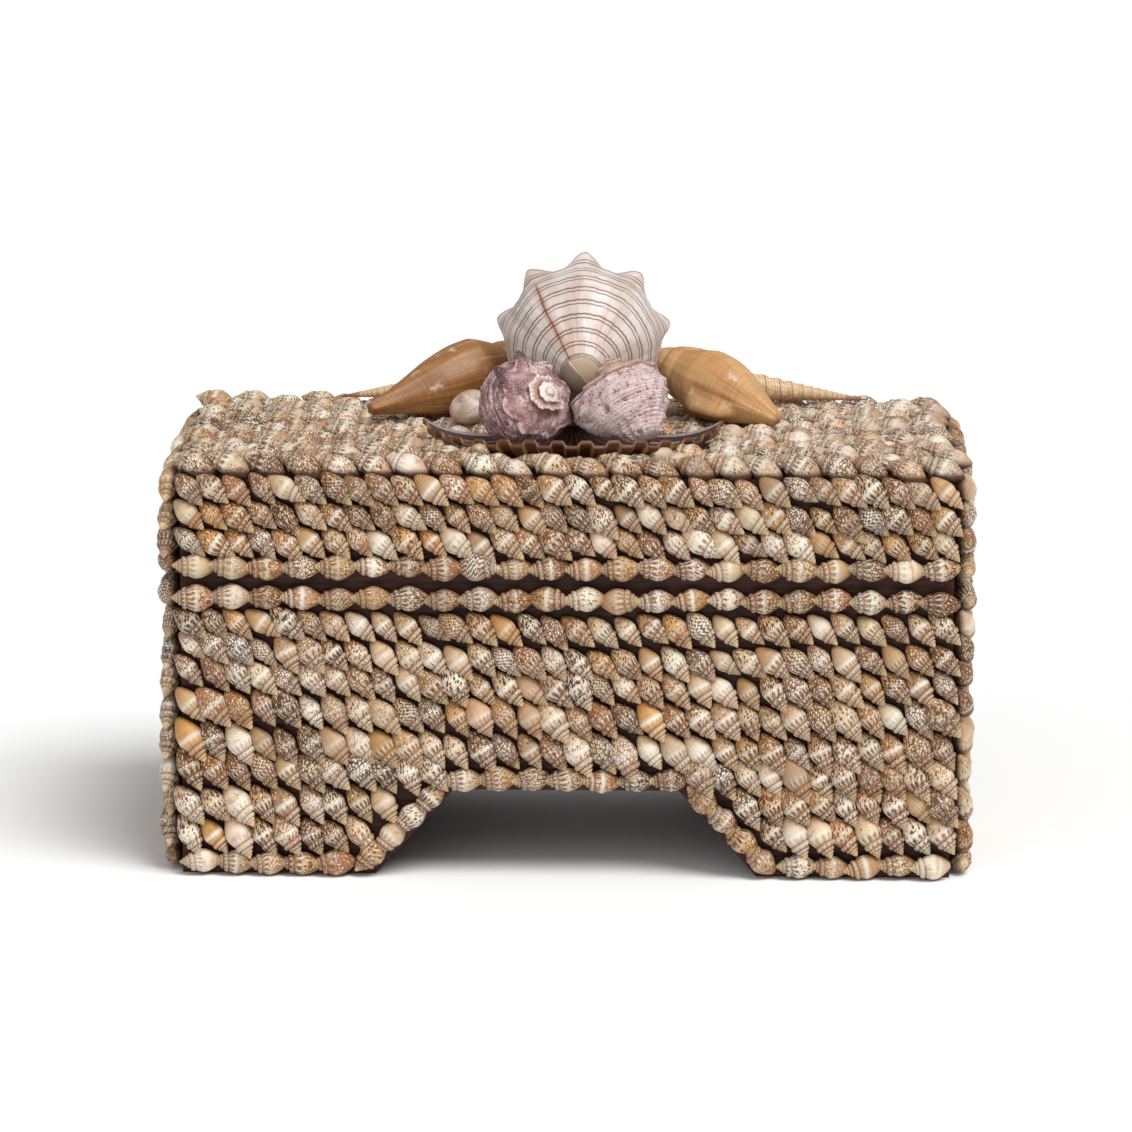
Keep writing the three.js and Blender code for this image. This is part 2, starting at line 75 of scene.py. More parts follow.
class Graph:
    """A procedural material: a Principled shader, and a colour for it that is laid on in coats."""

    def __init__(self, name, **constants):
        self.colour = None
        self.material = bpy.data.materials.new(name)
        self.material.use_nodes = True
        self.tree = self.material.node_tree
        self.tree.nodes.clear()
        self.shader = self.node("ShaderNodeBsdfPrincipled")
        output = self.node("ShaderNodeOutputMaterial")
        self.tree.links.new(self.shader.outputs["BSDF"], output.inputs["Surface"])
        for socket, value in constants.items():
            self.shader.inputs[socket.replace("_", " ")].default_value = value

    def node(self, kind, inputs=None, **settings):
        made = self.tree.nodes.new(kind)
        for key, value in settings.items():
            setattr(made, key, value)
        for key, value in (inputs or {}).items():
            self.feed(made.inputs[key], value)
        return made

    def feed(self, socket, value):
        if isinstance(value, Wire):
            self.tree.links.new(value.socket, socket)
        elif value is not None:
            socket.default_value = value

    def out(self, node, output=0):
        return Wire(self, node.outputs[output])

    def math(self, operation, *values):
        return self.out(self.node("ShaderNodeMath", dict(enumerate(values)), operation=operation))

    def step(self, value, low, high, start=0.0, end=1.0):
        """Rises smoothly from start to end as value goes from low to high."""
        inputs = {"Value": value, "From Min": low, "From Max": high, "To Min": start, "To Max": end}
        return self.out(self.node("ShaderNodeMapRange", inputs, interpolation_type="SMOOTHSTEP"))

    def bell(self, value, middle, width):
        """1 at the middle, falling away to 0 about a width from it."""
        off = (value - middle) * (1 / width)
        return self.math("EXPONENT", off * off * -1.0)

    def wave(self, value, count):
        """A cosine with that many crests for each unit of value, from -1 to 1."""
        return self.math("COSINE", value * (TURN * count))

    def at_least(self, value, floor):
        return self.math("MAXIMUM", value, floor)

    def at_most(self, value, ceiling):
        return self.math("MINIMUM", value, ceiling)

    def point(self, x, y, z=0.0):
        return self.out(self.node("ShaderNodeCombineXYZ", {0: x, 1: y, 2: z}))

    def parts(self, vector):
        split = self.node("ShaderNodeSeparateXYZ", {0: vector})
        return [self.out(split, i) for i in range(3)]

    def attribute(self, name):
        return self.out(self.node("ShaderNodeAttribute", attribute_name=name), "Vector")

    def uv(self, name):
        return self.parts(self.out(self.node("ShaderNodeUVMap", uv_map=name)))[:2]

    def place(self):
        return self.out(self.node("ShaderNodeTexCoord"), "Object")

    def noise(self, vector, scale, detail=3.0, roughness=0.55, distortion=0.0):
        inputs = {"Vector": vector, "Scale": scale, "Detail": detail, "Roughness": roughness}
        return self.out(self.node("ShaderNodeTexNoise", {**inputs, "Distortion": distortion}))

    def cloud(self, x, y, detail=3.0, roughness=0.55):
        """Noise over two coordinates that are already scaled."""
        return self.noise(self.point(x, y), 1.0, detail, roughness)

    def cells(self, vector, scale=1.0, randomness=1.0, feature="F1"):
        inputs = {"Vector": vector, "Scale": scale, "Randomness": randomness}
        return self.out(self.node("ShaderNodeTexVoronoi", inputs, feature=feature), "Distance")

    def mix(self, first, second, share, blend="MIX"):
        """A mix of two colours, each a wire or a screen colour of 0 to 255."""
        first, second = (rgb(*c) if isinstance(c, tuple) else c for c in (first, second))
        inputs = {MIX_SHARE: share, MIX_FIRST: first, MIX_SECOND: second}
        made = self.node("ShaderNodeMix", inputs, data_type="RGBA", blend_type=blend)
        return self.out(made, MIX_COLOUR)

    def ground(self, first, second, share):
        """The first coat, a mix of two colours."""
        self.colour = self.mix(first, second, share)

    def coat(self, colour, share):
        """A further coat, which covers that share of what is there."""
        self.colour = self.mix(self.colour, colour, share)

    def shade(self, amount):
        """Multiplies the colour so far by a grey amount."""
        self.colour = self.mix(self.colour, self.point(amount, amount, amount), 1.0, "MULTIPLY")

    def finish(self, roughness=None, height=None, depth=0.0002, strength=1.0):
        self.feed(self.shader.inputs["Base Color"], self.colour)
        if roughness is not None:
            self.feed(self.shader.inputs["Roughness"], roughness)
        if height is not None:
            inputs = {"Height": height, "Strength": strength, "Distance": depth}
            bump = self.out(self.node("ShaderNodeBump", inputs))
            self.feed(self.shader.inputs["Normal"], bump)
        return self.material


# What the looks and the meshes share: shares of a whorl or of a turn, and the scallop's ribs
COIL_END = 0.14
SMALL_RAMP = 0.18
CRACK_TURN = 0.894
CANAL_TURN = 0.136
RIBS = 14
RIB_PERIODS = RIBS - 0.75
RIB_OFFSET = 0.125 / RIB_PERIODS


def rgb(red, green, blue):
    """A screen colour of 0 to 255 as the linear colour that a shader takes."""
    line = [v / 255 for v in (red, green, blue)]
    return (*(v / 12.92 if v <= 0.04045 else ((v + 0.055) / 1.055) ** 2.4 for v in line), 1.0)


def wood_look():
    """Dark stained board with a fine straight grain."""
    g = Graph("dark_stained_wood", Specular_IOR_Level=0.25)
    x, y, z = g.parts(g.place())
    along = g.point(x * 9, y * 60, z * 160)
    grain = g.noise(along, 6, 5, 0.62, 0.6)
    streak = g.noise(along, 1.6, 2, 0.5)
    g.ground((42, 19, 12), (94, 48, 33), g.step(grain, 0.3, 0.75))
    g.shade(g.step(streak, 0.25, 0.75, 0.65, 1.1))
    return g.finish(g.step(grain, 0.3, 0.7, 0.5, 0.36), grain, 0.0002, 0.6)


def small_shell_look():
    """Cream nassa shells: a pale band under the shoulder, a tan spire, brown specks, nets or zigzags, and
    painted shade low down next to the bed.
    """
    g = Graph("small_speckled_shell", Specular_IOR_Level=0.45)
    around, whorl = g.uv("spiral")
    base = g.attribute("base_colour")
    mark = g.attribute("mark_colour")
    seed, density, style = g.parts(g.attribute("kind"))
    tan, banded, ribbed = g.parts(g.attribute("traits"))
    below = whorl - g.at_most(g.math("FLOOR", whorl + SMALL_RAMP), 0)
    in_spire = g.step(whorl, -0.1, -0.3)
    size = g.math("FRACT", seed * 7.13) * 0.5 + 0.75
    nudge = g.noise(g.point(around * 7 + seed, below * 3, seed), 1, 2) - 0.5
    stain = g.noise(g.point(around * 5 + seed, whorl * 1.4, seed), 1.2, 3)
    pale_band = g.bell(below + nudge * 0.12, 0.4, 0.26) * banded * (1 - in_spire * 0.45)
    warm_spire = in_spire * tan * g.step(whorl, -3.2, -1.8, 0.35, 1)
    warm_canal = g.step(whorl, 0.85, 1.6) * 0.55
    warm = g.at_least(g.at_least(warm_spire, warm_canal), g.step(stain, 0.44, 0.74) * 0.65)
    g.ground(base, (164, 107, 56), warm)
    g.coat((240, 231, 216), pale_band * 0.9)
    thick = density * (1 - pale_band * 0.75)
    slant = around * 30 + below * 2.2
    specks = g.cells(g.point(slant * size + seed, below * 3.6 * size + nudge + seed, seed), 1, 0.9)
    specks = g.step(specks - thick * 0.5, -0.14, 0.12, 1, 0)
    net = g.cells(g.point(slant * 0.7 + seed, below * 4 + nudge, seed), 1, 0.9, "DISTANCE_TO_EDGE")
    net = g.step(net - thick * 0.17, -0.09, 0.08, 1, 0)
    lean = g.math("PINGPONG", below * 2.6 + nudge, 0.5)
    lines = g.step(g.wave(around * 13 + lean * 1.5 + nudge * 1.6 + seed, 1), -0.3, 0.3)
    marks = g.mix(specks, net, g.bell(style, 0.5, 0.16))
    marks = g.mix(marks, lines, g.step(style, 0.78, 0.9))
    bold = g.step(density, 0, 0.8, 0.15, 0.95)
    g.coat(mark, marks * bold * g.step(whorl, -3.4, -1.4, 0.4, 1))
    flecks = g.cells(g.point(slant * 0.8 + seed, below * 3 - seed, seed), 1, 1)
    g.coat((238, 227, 209), g.step(flecks, 0.34, 0.16) * g.step(density, 0.3, 0.8) * 0.8)
    rib_count = g.math("FRACT", seed * 3.7) * 7 + 9.5
    ribs = g.wave((around + nudge * 0.024) * rib_count, 1)
    on_shoulder = g.bell(below - in_spire * 0.12, 0.1, 0.24) * (ribbed * 0.85 + 0.15)
    g.coat((242, 233, 218), on_shoulder * g.step(ribs, 0, 0.7) * 0.6)
    g.coat(mark, on_shoulder * g.step(ribs, -0.1, -0.7) * g.step(density, 0, 0.4, 0.2, 0.8))
    next_groove = g.bell(below, 1 - SMALL_RAMP, 0.08) * in_spire
    groove = g.at_least(g.bell(below, -SMALL_RAMP, 0.07), next_groove)
    # Dotted brown along the suture grooves: partly the shells' own suture line, partly painted shade in the
    # groove
    g.coat((122, 72, 38), groove * g.step(g.wave(around, 27), -0.6, 0.5, 0.4, 0.8))
    g.coat((250, 214, 164), g.step(whorl, -1.5, -3) * 0.65)
    # Painted shade: a dark brown coat low on each shell, next to the bed and in the gaps between shells,
    # lighter on the spire
    rise = g.parts(g.attribute("rise"))[0]
    painted_bed_shade = g.step(rise, 0.58, 0.2) * (0.94 - in_spire * 0.3)
    g.coat((60, 34, 19), painted_bed_shade)
    height = ribs * (on_shoulder * 1.3 + 0.1) + g.wave(below, 7) * 0.14 - groove * 1.4 + nudge * 0.3
    return g.finish(g.step(stain, 0.3, 0.7, 0.3, 0.46), height, 0.00035, 0.9)


def conch_look():
    """White, with thin dark brown lines in pairs round the whorls and faint orange streaks along them."""
    g = Graph("striped_conch_shell", Specular_IOR_Level=0.4)
    around, reach = g.uv("spiral")
    wander = g.cloud(around * 22, reach * 4) - 0.5
    beat = g.math("FRACT", reach * 20 + wander * 0.14)
    pair = g.at_least(g.bell(beat, 0.35, 0.055), g.bell(beat, 0.63, 0.055))
    fade = g.step(g.cloud(around * 14, reach * 22, 2), 0.28, 0.46, 0.45, 1)
    streak = g.cloud(around * 80, reach * 2.5, 4, 0.6)
    patch = g.cloud(around * 16, reach * 5, 2)
    near_canal = g.step(reach, 0.6, 0.93, 0.12, 0.85)
    g.ground((220, 210, 204), (194, 179, 169), g.step(patch, 0.35, 0.7))
    g.coat((202, 142, 96), g.step(streak, 0.48, 0.66) * near_canal * g.step(patch, 0.38, 0.6))
    crack = g.bell(around + wander * 0.024, CRACK_TURN, 0.0028) * g.step(reach, 0.6, 0.68)
    crack = crack * g.step(streak + patch * 0.5, 0.55, 0.75, 0.35, 1)
    halo = g.bell(around + wander * 0.026, CRACK_TURN, 0.009) * g.step(reach, 0.56, 0.72) * 0.6
    g.coat((190, 124, 66), halo)
    on_canal = g.step(reach, 0.974, 0.98)
    g.coat((104, 54, 34), pair * fade * (1 - on_canal) * 0.95)
    g.coat((84, 50, 28), crack * 0.9)
    # The flat cut end of the canal in two tones: a dark half of painted shade inside the canal, a light half
    # painted as the lit columella side, and a pale line where they meet
    split = g.wave(around - CANAL_TURN, 1)
    shaded_canal_end = g.mix((150, 130, 112), (190, 168, 142), g.step(split, -0.05, 0.05))
    shaded_canal_end = g.mix(shaded_canal_end, (216, 200, 178), g.bell(split, 0, 0.09))
    g.coat(shaded_canal_end, on_canal)
    rim = g.bell(reach, 0.976, 0.004)
    g.coat((120, 100, 88), rim * 0.7)
    height = streak * 0.5 - pair * 0.3 - crack
    return g.finish(g.step(streak, 0.3, 0.7, 0.48, 0.38), height, 0.0004, 0.6)


def whelk_look(name, dark, light):
    """Ochre, smooth, with long soft growth streaks, whitish worn patches and faint threads."""
    g = Graph(name, Specular_IOR_Level=0.45)
    around, reach = g.uv("spiral")
    warp = g.cloud(around * 5, reach * 3, 2) - 0.5
    bent = around + reach * reach * 0.05 + warp * 0.04
    growth = g.cloud(bent * 42, reach * 1.6, 4, 0.62)
    bands = g.cloud(bent * 9, reach * 2.2)
    worn = g.cloud(around * 9, reach * 9, 5, 0.62)
    threads = g.cloud(around * 4, reach * 95 + around * 6, 2)
    g.ground(dark, light, g.step(bands, 0.32, 0.68))
    g.coat((138, 84, 40), g.step(growth, 0.44, 0.28) * 0.4)
    g.coat((232, 206, 166), g.step(growth, 0.56, 0.74) * 0.45)
    g.coat((234, 220, 198), g.step(worn, 0.58, 0.72) * 0.6)
    g.shade(g.step(threads, 0.35, 0.65, 0.86, 1.06))
    height = growth * 0.6 + threads * 0.5
    return g.finish(g.step(worn, 0.3, 0.7, 0.34, 0.5), height, 0.0004, 0.45)


def rock_look(name, flesh, pale, dark, dark_share, growth, cord_count, shows_spire):
    """Mauve pink rock shell, crusted and pitted, with dark specks, worn white patches and a pale spire."""
    g = Graph(name, Specular_IOR_Level=0.3)
    around, whorl = g.uv("spiral")
    worn, deep, tip = g.parts(g.attribute("crust"))
    place = g.place()
    grit = g.noise(place, 900, 4, 0.65)
    grain = g.noise(place, 2400, 3, 0.6)
    cloud = g.noise(place, 190, 4, 0.62)
    pits = g.cells(place, 560, 1)
    grains = g.cells(place, 1150, 1)
    cords = g.wave(g.math("POWER", growth, whorl) + (cloud - 0.5) * 0.12 + (grit - 0.5) * 0.02, cord_count)
    g.ground(flesh, pale, g.step(cloud * 0.7 + cords * 0.08 + grit * 0.35, 0.42, 0.74))
    g.coat(dark, g.step(cloud, 0.47, 0.32) * 0.7)
    g.coat((238, 224, 219), g.step(grain, 0.54, 0.68) * 0.7)
    g.coat(dark, g.step(grain, 0.45, 0.33) * 0.7)
    g.coat(dark, g.step(grains, 0.3, 0.14) * g.step(cloud, 0.62, 0.48) * 0.55)
    g.coat(dark, deep * 0.6)
    g.coat((232, 214, 207), worn * g.step(grit, 0.4, 0.58) * 0.85)
    speck = g.step(pits, 0.3, 0.14) * g.step(cloud, 0.6 - dark_share, 0.46 - dark_share)
    g.coat((62, 46, 50), speck * 0.85)
    if shows_spire:
        wound = g.at_most(around, (1 - around) * ((1 - COIL_END) / COIL_END))
        inward = whorl - wound
        below = whorl - g.math("ROUND", whorl)
        swirl = g.wave(whorl + (cloud - 0.5) * 0.35, 4.5) * g.step(whorl, 0.05, 0.25)
        g.coat((226, 206, 200), g.step(swirl, 0.72, 0.98) * g.step(grit, 0.38, 0.56) * 0.75)
        g.coat(dark, g.step(swirl, -0.55, -0.95) * g.step(grit, 0.62, 0.45) * 0.6)
        ridge = g.bell(whorl + (grit - 0.5) * 0.25, 0, 0.045)
        g.coat((228, 208, 202), ridge * g.step(cloud, 0.42, 0.56) * 0.8)
        g.coat((196, 150, 132), g.step(inward, -1.15, -1.4) * g.step(grit, 0.3, 0.6, 0.9, 0.5))
        seam = g.bell(g.math("ABSOLUTE", below), 0.42, 0.1) * g.step(inward, -1, -1.2)
        keel = g.bell(below + g.wave(around, 24) * 0.05, 0.02, 0.17) * g.step(whorl, -0.65, -0.9)
        core = g.at_least(keel, g.step(inward, -2.1, -2.35))
    else:
        streak = g.cloud(around * 7, g.math("POWER", growth, whorl) * 16)
        g.coat((246, 232, 228), g.step(streak, 0.53, 0.66) * 0.75)
        g.coat((108, 84, 90), g.step(g.noise(place, 330, 3, 0.6), 0.6, 0.7) * 0.75)
        g.coat((204, 176, 158), g.step(whorl, 0.16, 0.04) * 0.85)
        # The brown band below the beige ledge: partly the suture's brown line, partly painted shade under the
        # ledge
        seam = g.bell(whorl + (cloud - 0.5) * 0.2, 0.2, 0.08)
    # Brown along the sutures; on the pale rock shell this band is partly painted shade under the ledge
    g.coat((136, 84, 54), seam * g.step(grit, 0.25, 0.55, 0.35, 0.9))
    if shows_spire:
        g.coat((242, 232, 222), core * g.step(grit, 0.2, 0.5, 0.75, 1))
    g.coat((54, 44, 49), tip * g.step(grain, 0.6, 0.5, 0.4, 1))
    height = grit * 0.9 + grain * 0.6 + cloud * 0.6 + cords * 0.12 - speck * 0.4
    return g.finish(g.step(grit, 0.3, 0.7, 0.62, 0.46), height, 0.0007, 1)


def scallop_look():
    """Copper brown ribbed fan: painted highlights in pale yellow along the rib flanks, purple grey inside."""
    g = Graph("scallop_shell", Specular_IOR_Level=0.45)
    across, out = g.uv("fan")
    edge, inner, rim = g.parts(g.attribute("fan_parts"))
    spread = g.cloud(across * 40, out * 5)
    rings = g.cloud(across * 3, out * 46, 3, 0.6)
    outside = g.mix((84, 48, 27), (130, 80, 46), g.step(rings, 0.35, 0.65))
    grooves = g.wave(across - RIB_OFFSET, RIB_PERIODS)
    inside = g.mix((84, 62, 64), (168, 150, 152), g.step(grooves + spread * 0.8, -0.3, 0.9))
    lines = g.wave(across - RIB_OFFSET, RIB_PERIODS * 2)
    inside = g.mix(inside, (46, 32, 35), g.step(lines, 0.1, -0.6) * 0.9)
    inside = g.mix(inside, (74, 40, 28), g.step(out, 0.75, 0.2) * 0.8)
    g.ground(outside, inside, inner)
    # Painted highlights: pale yellow on the flanks of the ribs
    g.coat((214, 178, 128), edge * g.step(rings, 0.2, 0.6, 0.5, 0.95))
    g.coat((92, 54, 31), rim * 0.6)
    height = rings * 0.6 + spread * 0.3 + lines * inner * 0.8
    return g.finish(g.step(rings, 0.3, 0.7, 0.5, 0.36), height, 0.0004, 0.8)


def turret_look():
    """Light tan whorls with fine lines round them."""
    g = Graph("turret_shell", Specular_IOR_Level=0.45)
    around, whorl = g.uv("spiral")
    phase = g.math("FRACT", whorl)
    growth = g.cloud(around * 30, whorl * 2, 3, 0.6)
    threads = g.wave(phase, 6)
    g.ground((214, 176, 132), (236, 210, 174), g.step(growth, 0.35, 0.65))
    g.coat((186, 134, 84), g.step(threads, 0.3, 0.9) * 0.4)
    suture = g.at_least(g.bell(phase, 0, 0.06), g.bell(phase, 1, 0.06))
    g.coat((140, 92, 56), suture * 0.7)
    return g.finish(g.step(growth, 0.3, 0.7, 0.44, 0.34), growth * 0.4 + threads * 0.4, 0.0003, 0.6)


def moon_look():
    """Pale pinkish beige, with faint darker growth streaks."""
    g = Graph("moon_snail_shell", Specular_IOR_Level=0.5)
    around, reach = g.uv("spiral")
    growth = g.cloud(around * 24, reach * 2)
    cloud = g.cloud(around * 4, reach * 5, 2)
    g.ground((176, 150, 134), (206, 184, 168), g.step(cloud, 0.35, 0.65))
    g.coat((178, 148, 130), g.step(growth, 0.58, 0.75) * 0.4)
    return g.finish(g.step(growth, 0.3, 0.7, 0.38, 0.28), growth, 0.0002, 0.4)


# Meshes

BAKE_MARGIN = 0.01
CELL_MARGIN = 0.04


def tuples(*members):
    """An array of tuples from the arrays of their members."""
    return np.stack(np.broadcast_arrays(*members), -1)


def add_object(name, data):
    made = bpy.data.objects.new(name, data)
    bpy.context.scene.collection.objects.link(made)
    return made


def make_piece(name, points, faces, look, nodes):
    """A piece from points in metres and faces of 3 or 4 corners, which stands for CAD nodes."""
    mesh = bpy.data.meshes.new(name)
    mesh.from_pydata(points.tolist(), [], [face for part in faces for face in part.tolist()])
    mesh.shade_smooth()
    mesh.materials.append(look)
    piece = add_object(name, mesh)
    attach(piece, "root")
    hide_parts(*nodes)
    return piece


def give_uv(piece, name, values):
    layer = piece.data.uv_layers.new(name=name)
    layer.data.foreach_set("uv", np.float32(values).ravel())


def give_vector(piece, name, values):
    layer = piece.data.attributes.new(name, "FLOAT_VECTOR", "POINT")
    layer.data.foreach_set("vector", np.float32(values).ravel())


class Tube:
    """The faces of a closed tube of rings, with a cap to a point at each end, and its corners' places."""

    def __init__(self, rings, sides):
        ring, side = (index.ravel() for index in np.mgrid[:rings - 1, :sides])
        quad_rings = tuples(ring, ring, ring + 1, ring + 1)
        quad_sides = tuples(side, side + 1, side + 1, side)
        self.quads = quad_rings * sides + quad_sides % sides
        j = np.arange(sides)
        k = (j + 1) % sides
        start, last = rings * sides, (rings - 1) * sides
        self.triangles = np.concatenate([tuples(start, k, j), tuples(start + 1, last + j, last + k)])
        self.size = rings * sides + 2
        low_sides, high_sides = tuples(j + 0.5, j + 1, j), tuples(j + 0.5, j, j + 1)
        low_rings = np.tile([-1.0, 0, 0], (sides, 1))
        high_rings = np.tile([rings, rings - 1.0, rings - 1.0], (sides, 1))
        self.corner_sides = np.concatenate([quad_sides.ravel(), low_sides.ravel(), high_sides.ravel()])
        self.corner_rings = np.concatenate([quad_rings.ravel(), low_rings.ravel(), high_rings.ravel()])
        self.corner_share = (self.corner_rings + 1) / (rings + 1)

    def at_corners(self, levels, beyond):
        """The level of each corner's ring, from the rings' levels and one beyond the last ring."""
        return np.concatenate([levels[:1], levels, [beyond]])[self.corner_rings.astype(int) + 1]


def through(stations, x):
    """A smooth line through a few stations of (place, value)."""
    places, values = np.array(stations, float).T
    x = np.clip(x, places[0], places[-1])
    grades = np.empty(len(places))
    grades[1:-1] = (values[2:] - values[:-2]) / (places[2:] - places[:-2])
    grades[0] = (values[1] - values[0]) / (places[1] - places[0])
    grades[-1] = (values[-1] - values[-2]) / (places[-1] - places[-2])
    i = np.clip(np.searchsorted(places, x, side="right") - 1, 0, len(places) - 2)
    span = places[i + 1] - places[i]
    t = (x - places[i]) / span
    ease = span * (grades[i] * t * (1 - t) ** 2 - grades[i + 1] * t * t * (1 - t))
    return values[i] + (values[i + 1] - values[i]) * t * t * (3 - 2 * t) + ease


def hump(x, middle, width):
    """1 at the middle, falling away to 0 about a width from it."""
    return np.exp(-((x - middle) / width) ** 2)


def smooth(x, low, high):
    t = np.clip((x - low) / (high - low), 0, 1)
    return t * t * (3 - 2 * t)


@dataclass
class Shell:
    """A coiled shell: (distance from the apex, radius) down its body whorl, and how its spire steps in."""

    body: list
    suture: float
    suture_slope: float
    growth: float
    body_twist: float
    spire_slope: float = 0.0
    roundness: float = 1.0
    knobs: int = 0
    knob_height: float = 0.0
    knob_spread: float = 1.0
    knob_point: float = 1.0

    def __post_init__(self):
        (self.shoulder, self.radius), (self.length, _) = self.body[0], self.body[-1]


def whorl_number(shell, reach):
    """Whorls from the shoulder to a distance from the apex: below 0 in the spire, above 0 on the body."""
    return np.log(reach / shell.shoulder) / math.log(shell.growth)


def coil_profile(shell, reach):
    """A coiled shell's radius at a distance from the apex, before its whorls shrink, and its whorl number."""
    whorl = whorl_number(shell, reach)
    ramp_length = math.log(shell.shoulder / shell.suture) / math.log(shell.growth)
    phase = whorl - np.floor(whorl)
    rising = (phase - 1 + ramp_length) / ramp_length
    falling = 1 - phase / (1 - ramp_length)
    ramp = np.where(phase > 1 - ramp_length, rising, falling)
    ramp = np.sin(np.clip(ramp, 0, 1) * math.pi / 2) ** shell.roundness
    body_slope = shell.radius / shell.shoulder
    full = np.where(whorl > -ramp_length, body_slope, shell.spire_slope or body_slope)
    slope = shell.suture_slope
    spire = reach * (slope + (full - slope) * ramp)
    return np.where(whorl > 0, through(shell.body, reach), spire), whorl


def coil_twist(shell, reach):
    """How much of a whorl's shrinking a point takes part in: all in the spire, little on the body."""
    to_shoulder = (reach - shell.suture) / (shell.shoulder - shell.suture)
    to_canal = (shell.length - reach) / (shell.length - shell.shoulder)
    on_ramp = 1 + (shell.body_twist - 1) * to_shoulder
    on_body = shell.body_twist * to_canal
    return np.where(reach <= shell.suture, 1, np.where(reach < shell.shoulder, on_ramp, on_body))


def coil_rings(shell, body_rings, steps):
    """Distances from the apex for the rings: evenly up the body, then by steps of whorls up the spire."""
    body = np.linspace(shell.length, shell.shoulder, body_rings, endpoint=False)
    return np.concatenate([body, shell.shoulder * shell.growth ** -steps])


def coil_points(shell, rings, turns, relief=None):
    """Rings of points that follow the whorls: turns run from 0 to 1, and the last part closes the coil."""
    base, whorl = coil_profile(shell, rings)
    twist = coil_twist(shell, rings)
    wound = np.minimum(turns, (1 - turns) * (1 - COIL_END) / COIL_END)
    shrink = shell.growth ** (-twist[:, None] * wound[None, :])
    radius = base[:, None] * shrink
    if shell.knobs:
        place = (whorl - np.minimum(0, np.round(whorl))) / shell.knob_spread
        ridge = np.cos(shell.knobs * turns * TURN / 2) ** 2
        height = shell.knob_height * np.minimum(rings / shell.shoulder, 1) * np.exp(-place * place)
        radius = radius + height[:, None] * ridge[None, :] ** shell.knob_point * shrink
    if relief is not None:
        radius = radius + relief(rings[:, None], whorl[:, None], turns[None, :]) * shrink
    angle = turns * TURN
    along = shell.shoulder - rings[:, None] * shrink
    return tuples(radius * np.cos(angle), radius * np.sin(angle), along)


def inset(values, margin):
    """Shares of a map's side, drawn in by a margin at both ends."""
    return margin + (1 - 2 * margin) * values


def big_coil(name, node, look, shell, fineness, place, towards, roll=0.0, size=1.0,
             relief=None, by="reach", rests_on=0.0):
    """A large coiled shell, set down where its CAD node is, with no point below what it rests on.

    The fineness is its sides, its rings on the body and in each whorl, and its whorls.
    """
    sides, body_rings, whorl_rings, whorls = fineness
    rings = coil_rings(shell, body_rings, np.arange(int(whorl_rings * whorls) + 1) / whorl_rings)
    turns = np.arange(sides) / sides
    grid = coil_points(shell, rings, turns, relief)
    caps = np.array([[0, 0, grid[0, :, 2].mean()], [0, 0, shell.shoulder]])
    local = np.concatenate([grid.reshape(-1, 3), caps])
    align = Vector((0, 0, 1)).rotation_difference(Vector(towards).normalized())
    turn = np.array((align @ Quaternion((0, 0, 1), roll)).to_matrix())
    points = (local * size) @ turn.T + np.array(place)
    points[:, 2] = np.maximum(points[:, 2], rests_on)
    tube = Tube(len(rings), sides)
    piece = make_piece(name, points * MM, [tube.quads, tube.triangles], look, [node])
    level = rings / shell.length if by == "reach" else whorl_number(shell, rings)
    around = tube.corner_sides / sides
    give_uv(piece, "spiral", tuples(around, tube.at_corners(level, level[-1])))
    give_uv(piece, "OFBake", inset(tuples(around, tube.corner_share), BAKE_MARGIN))
    return piece, local


# The small shells: an ovate cone with a body whorl over half its length, in units of that length

SMALL = Shell(
    [(0.47, 0.264), (0.53, 0.284), (0.6, 0.289), (0.69, 0.27),
     (0.79, 0.222), (0.88, 0.166), (0.95, 0.116), (1.0, 0.06)],
    suture=0.438, suture_slope=0.58, spire_slope=0.77, growth=1.48, body_twist=0.12, roundness=0.5)
CANAL_CAP = 1.01
WHORL_STEPS = np.array([0.0, SMALL_RAMP, 0.4, 0.72])
SMALL_MIDDLE = 0.53
SMALL_GIRTH = 0.285
SMALL_HEIGHT = 0.94
SMALL_SINK = 0.2
SMALL_CREST = 8.2
ROLL_JITTER = 0.42
OUTER_CROWDING = 0.075


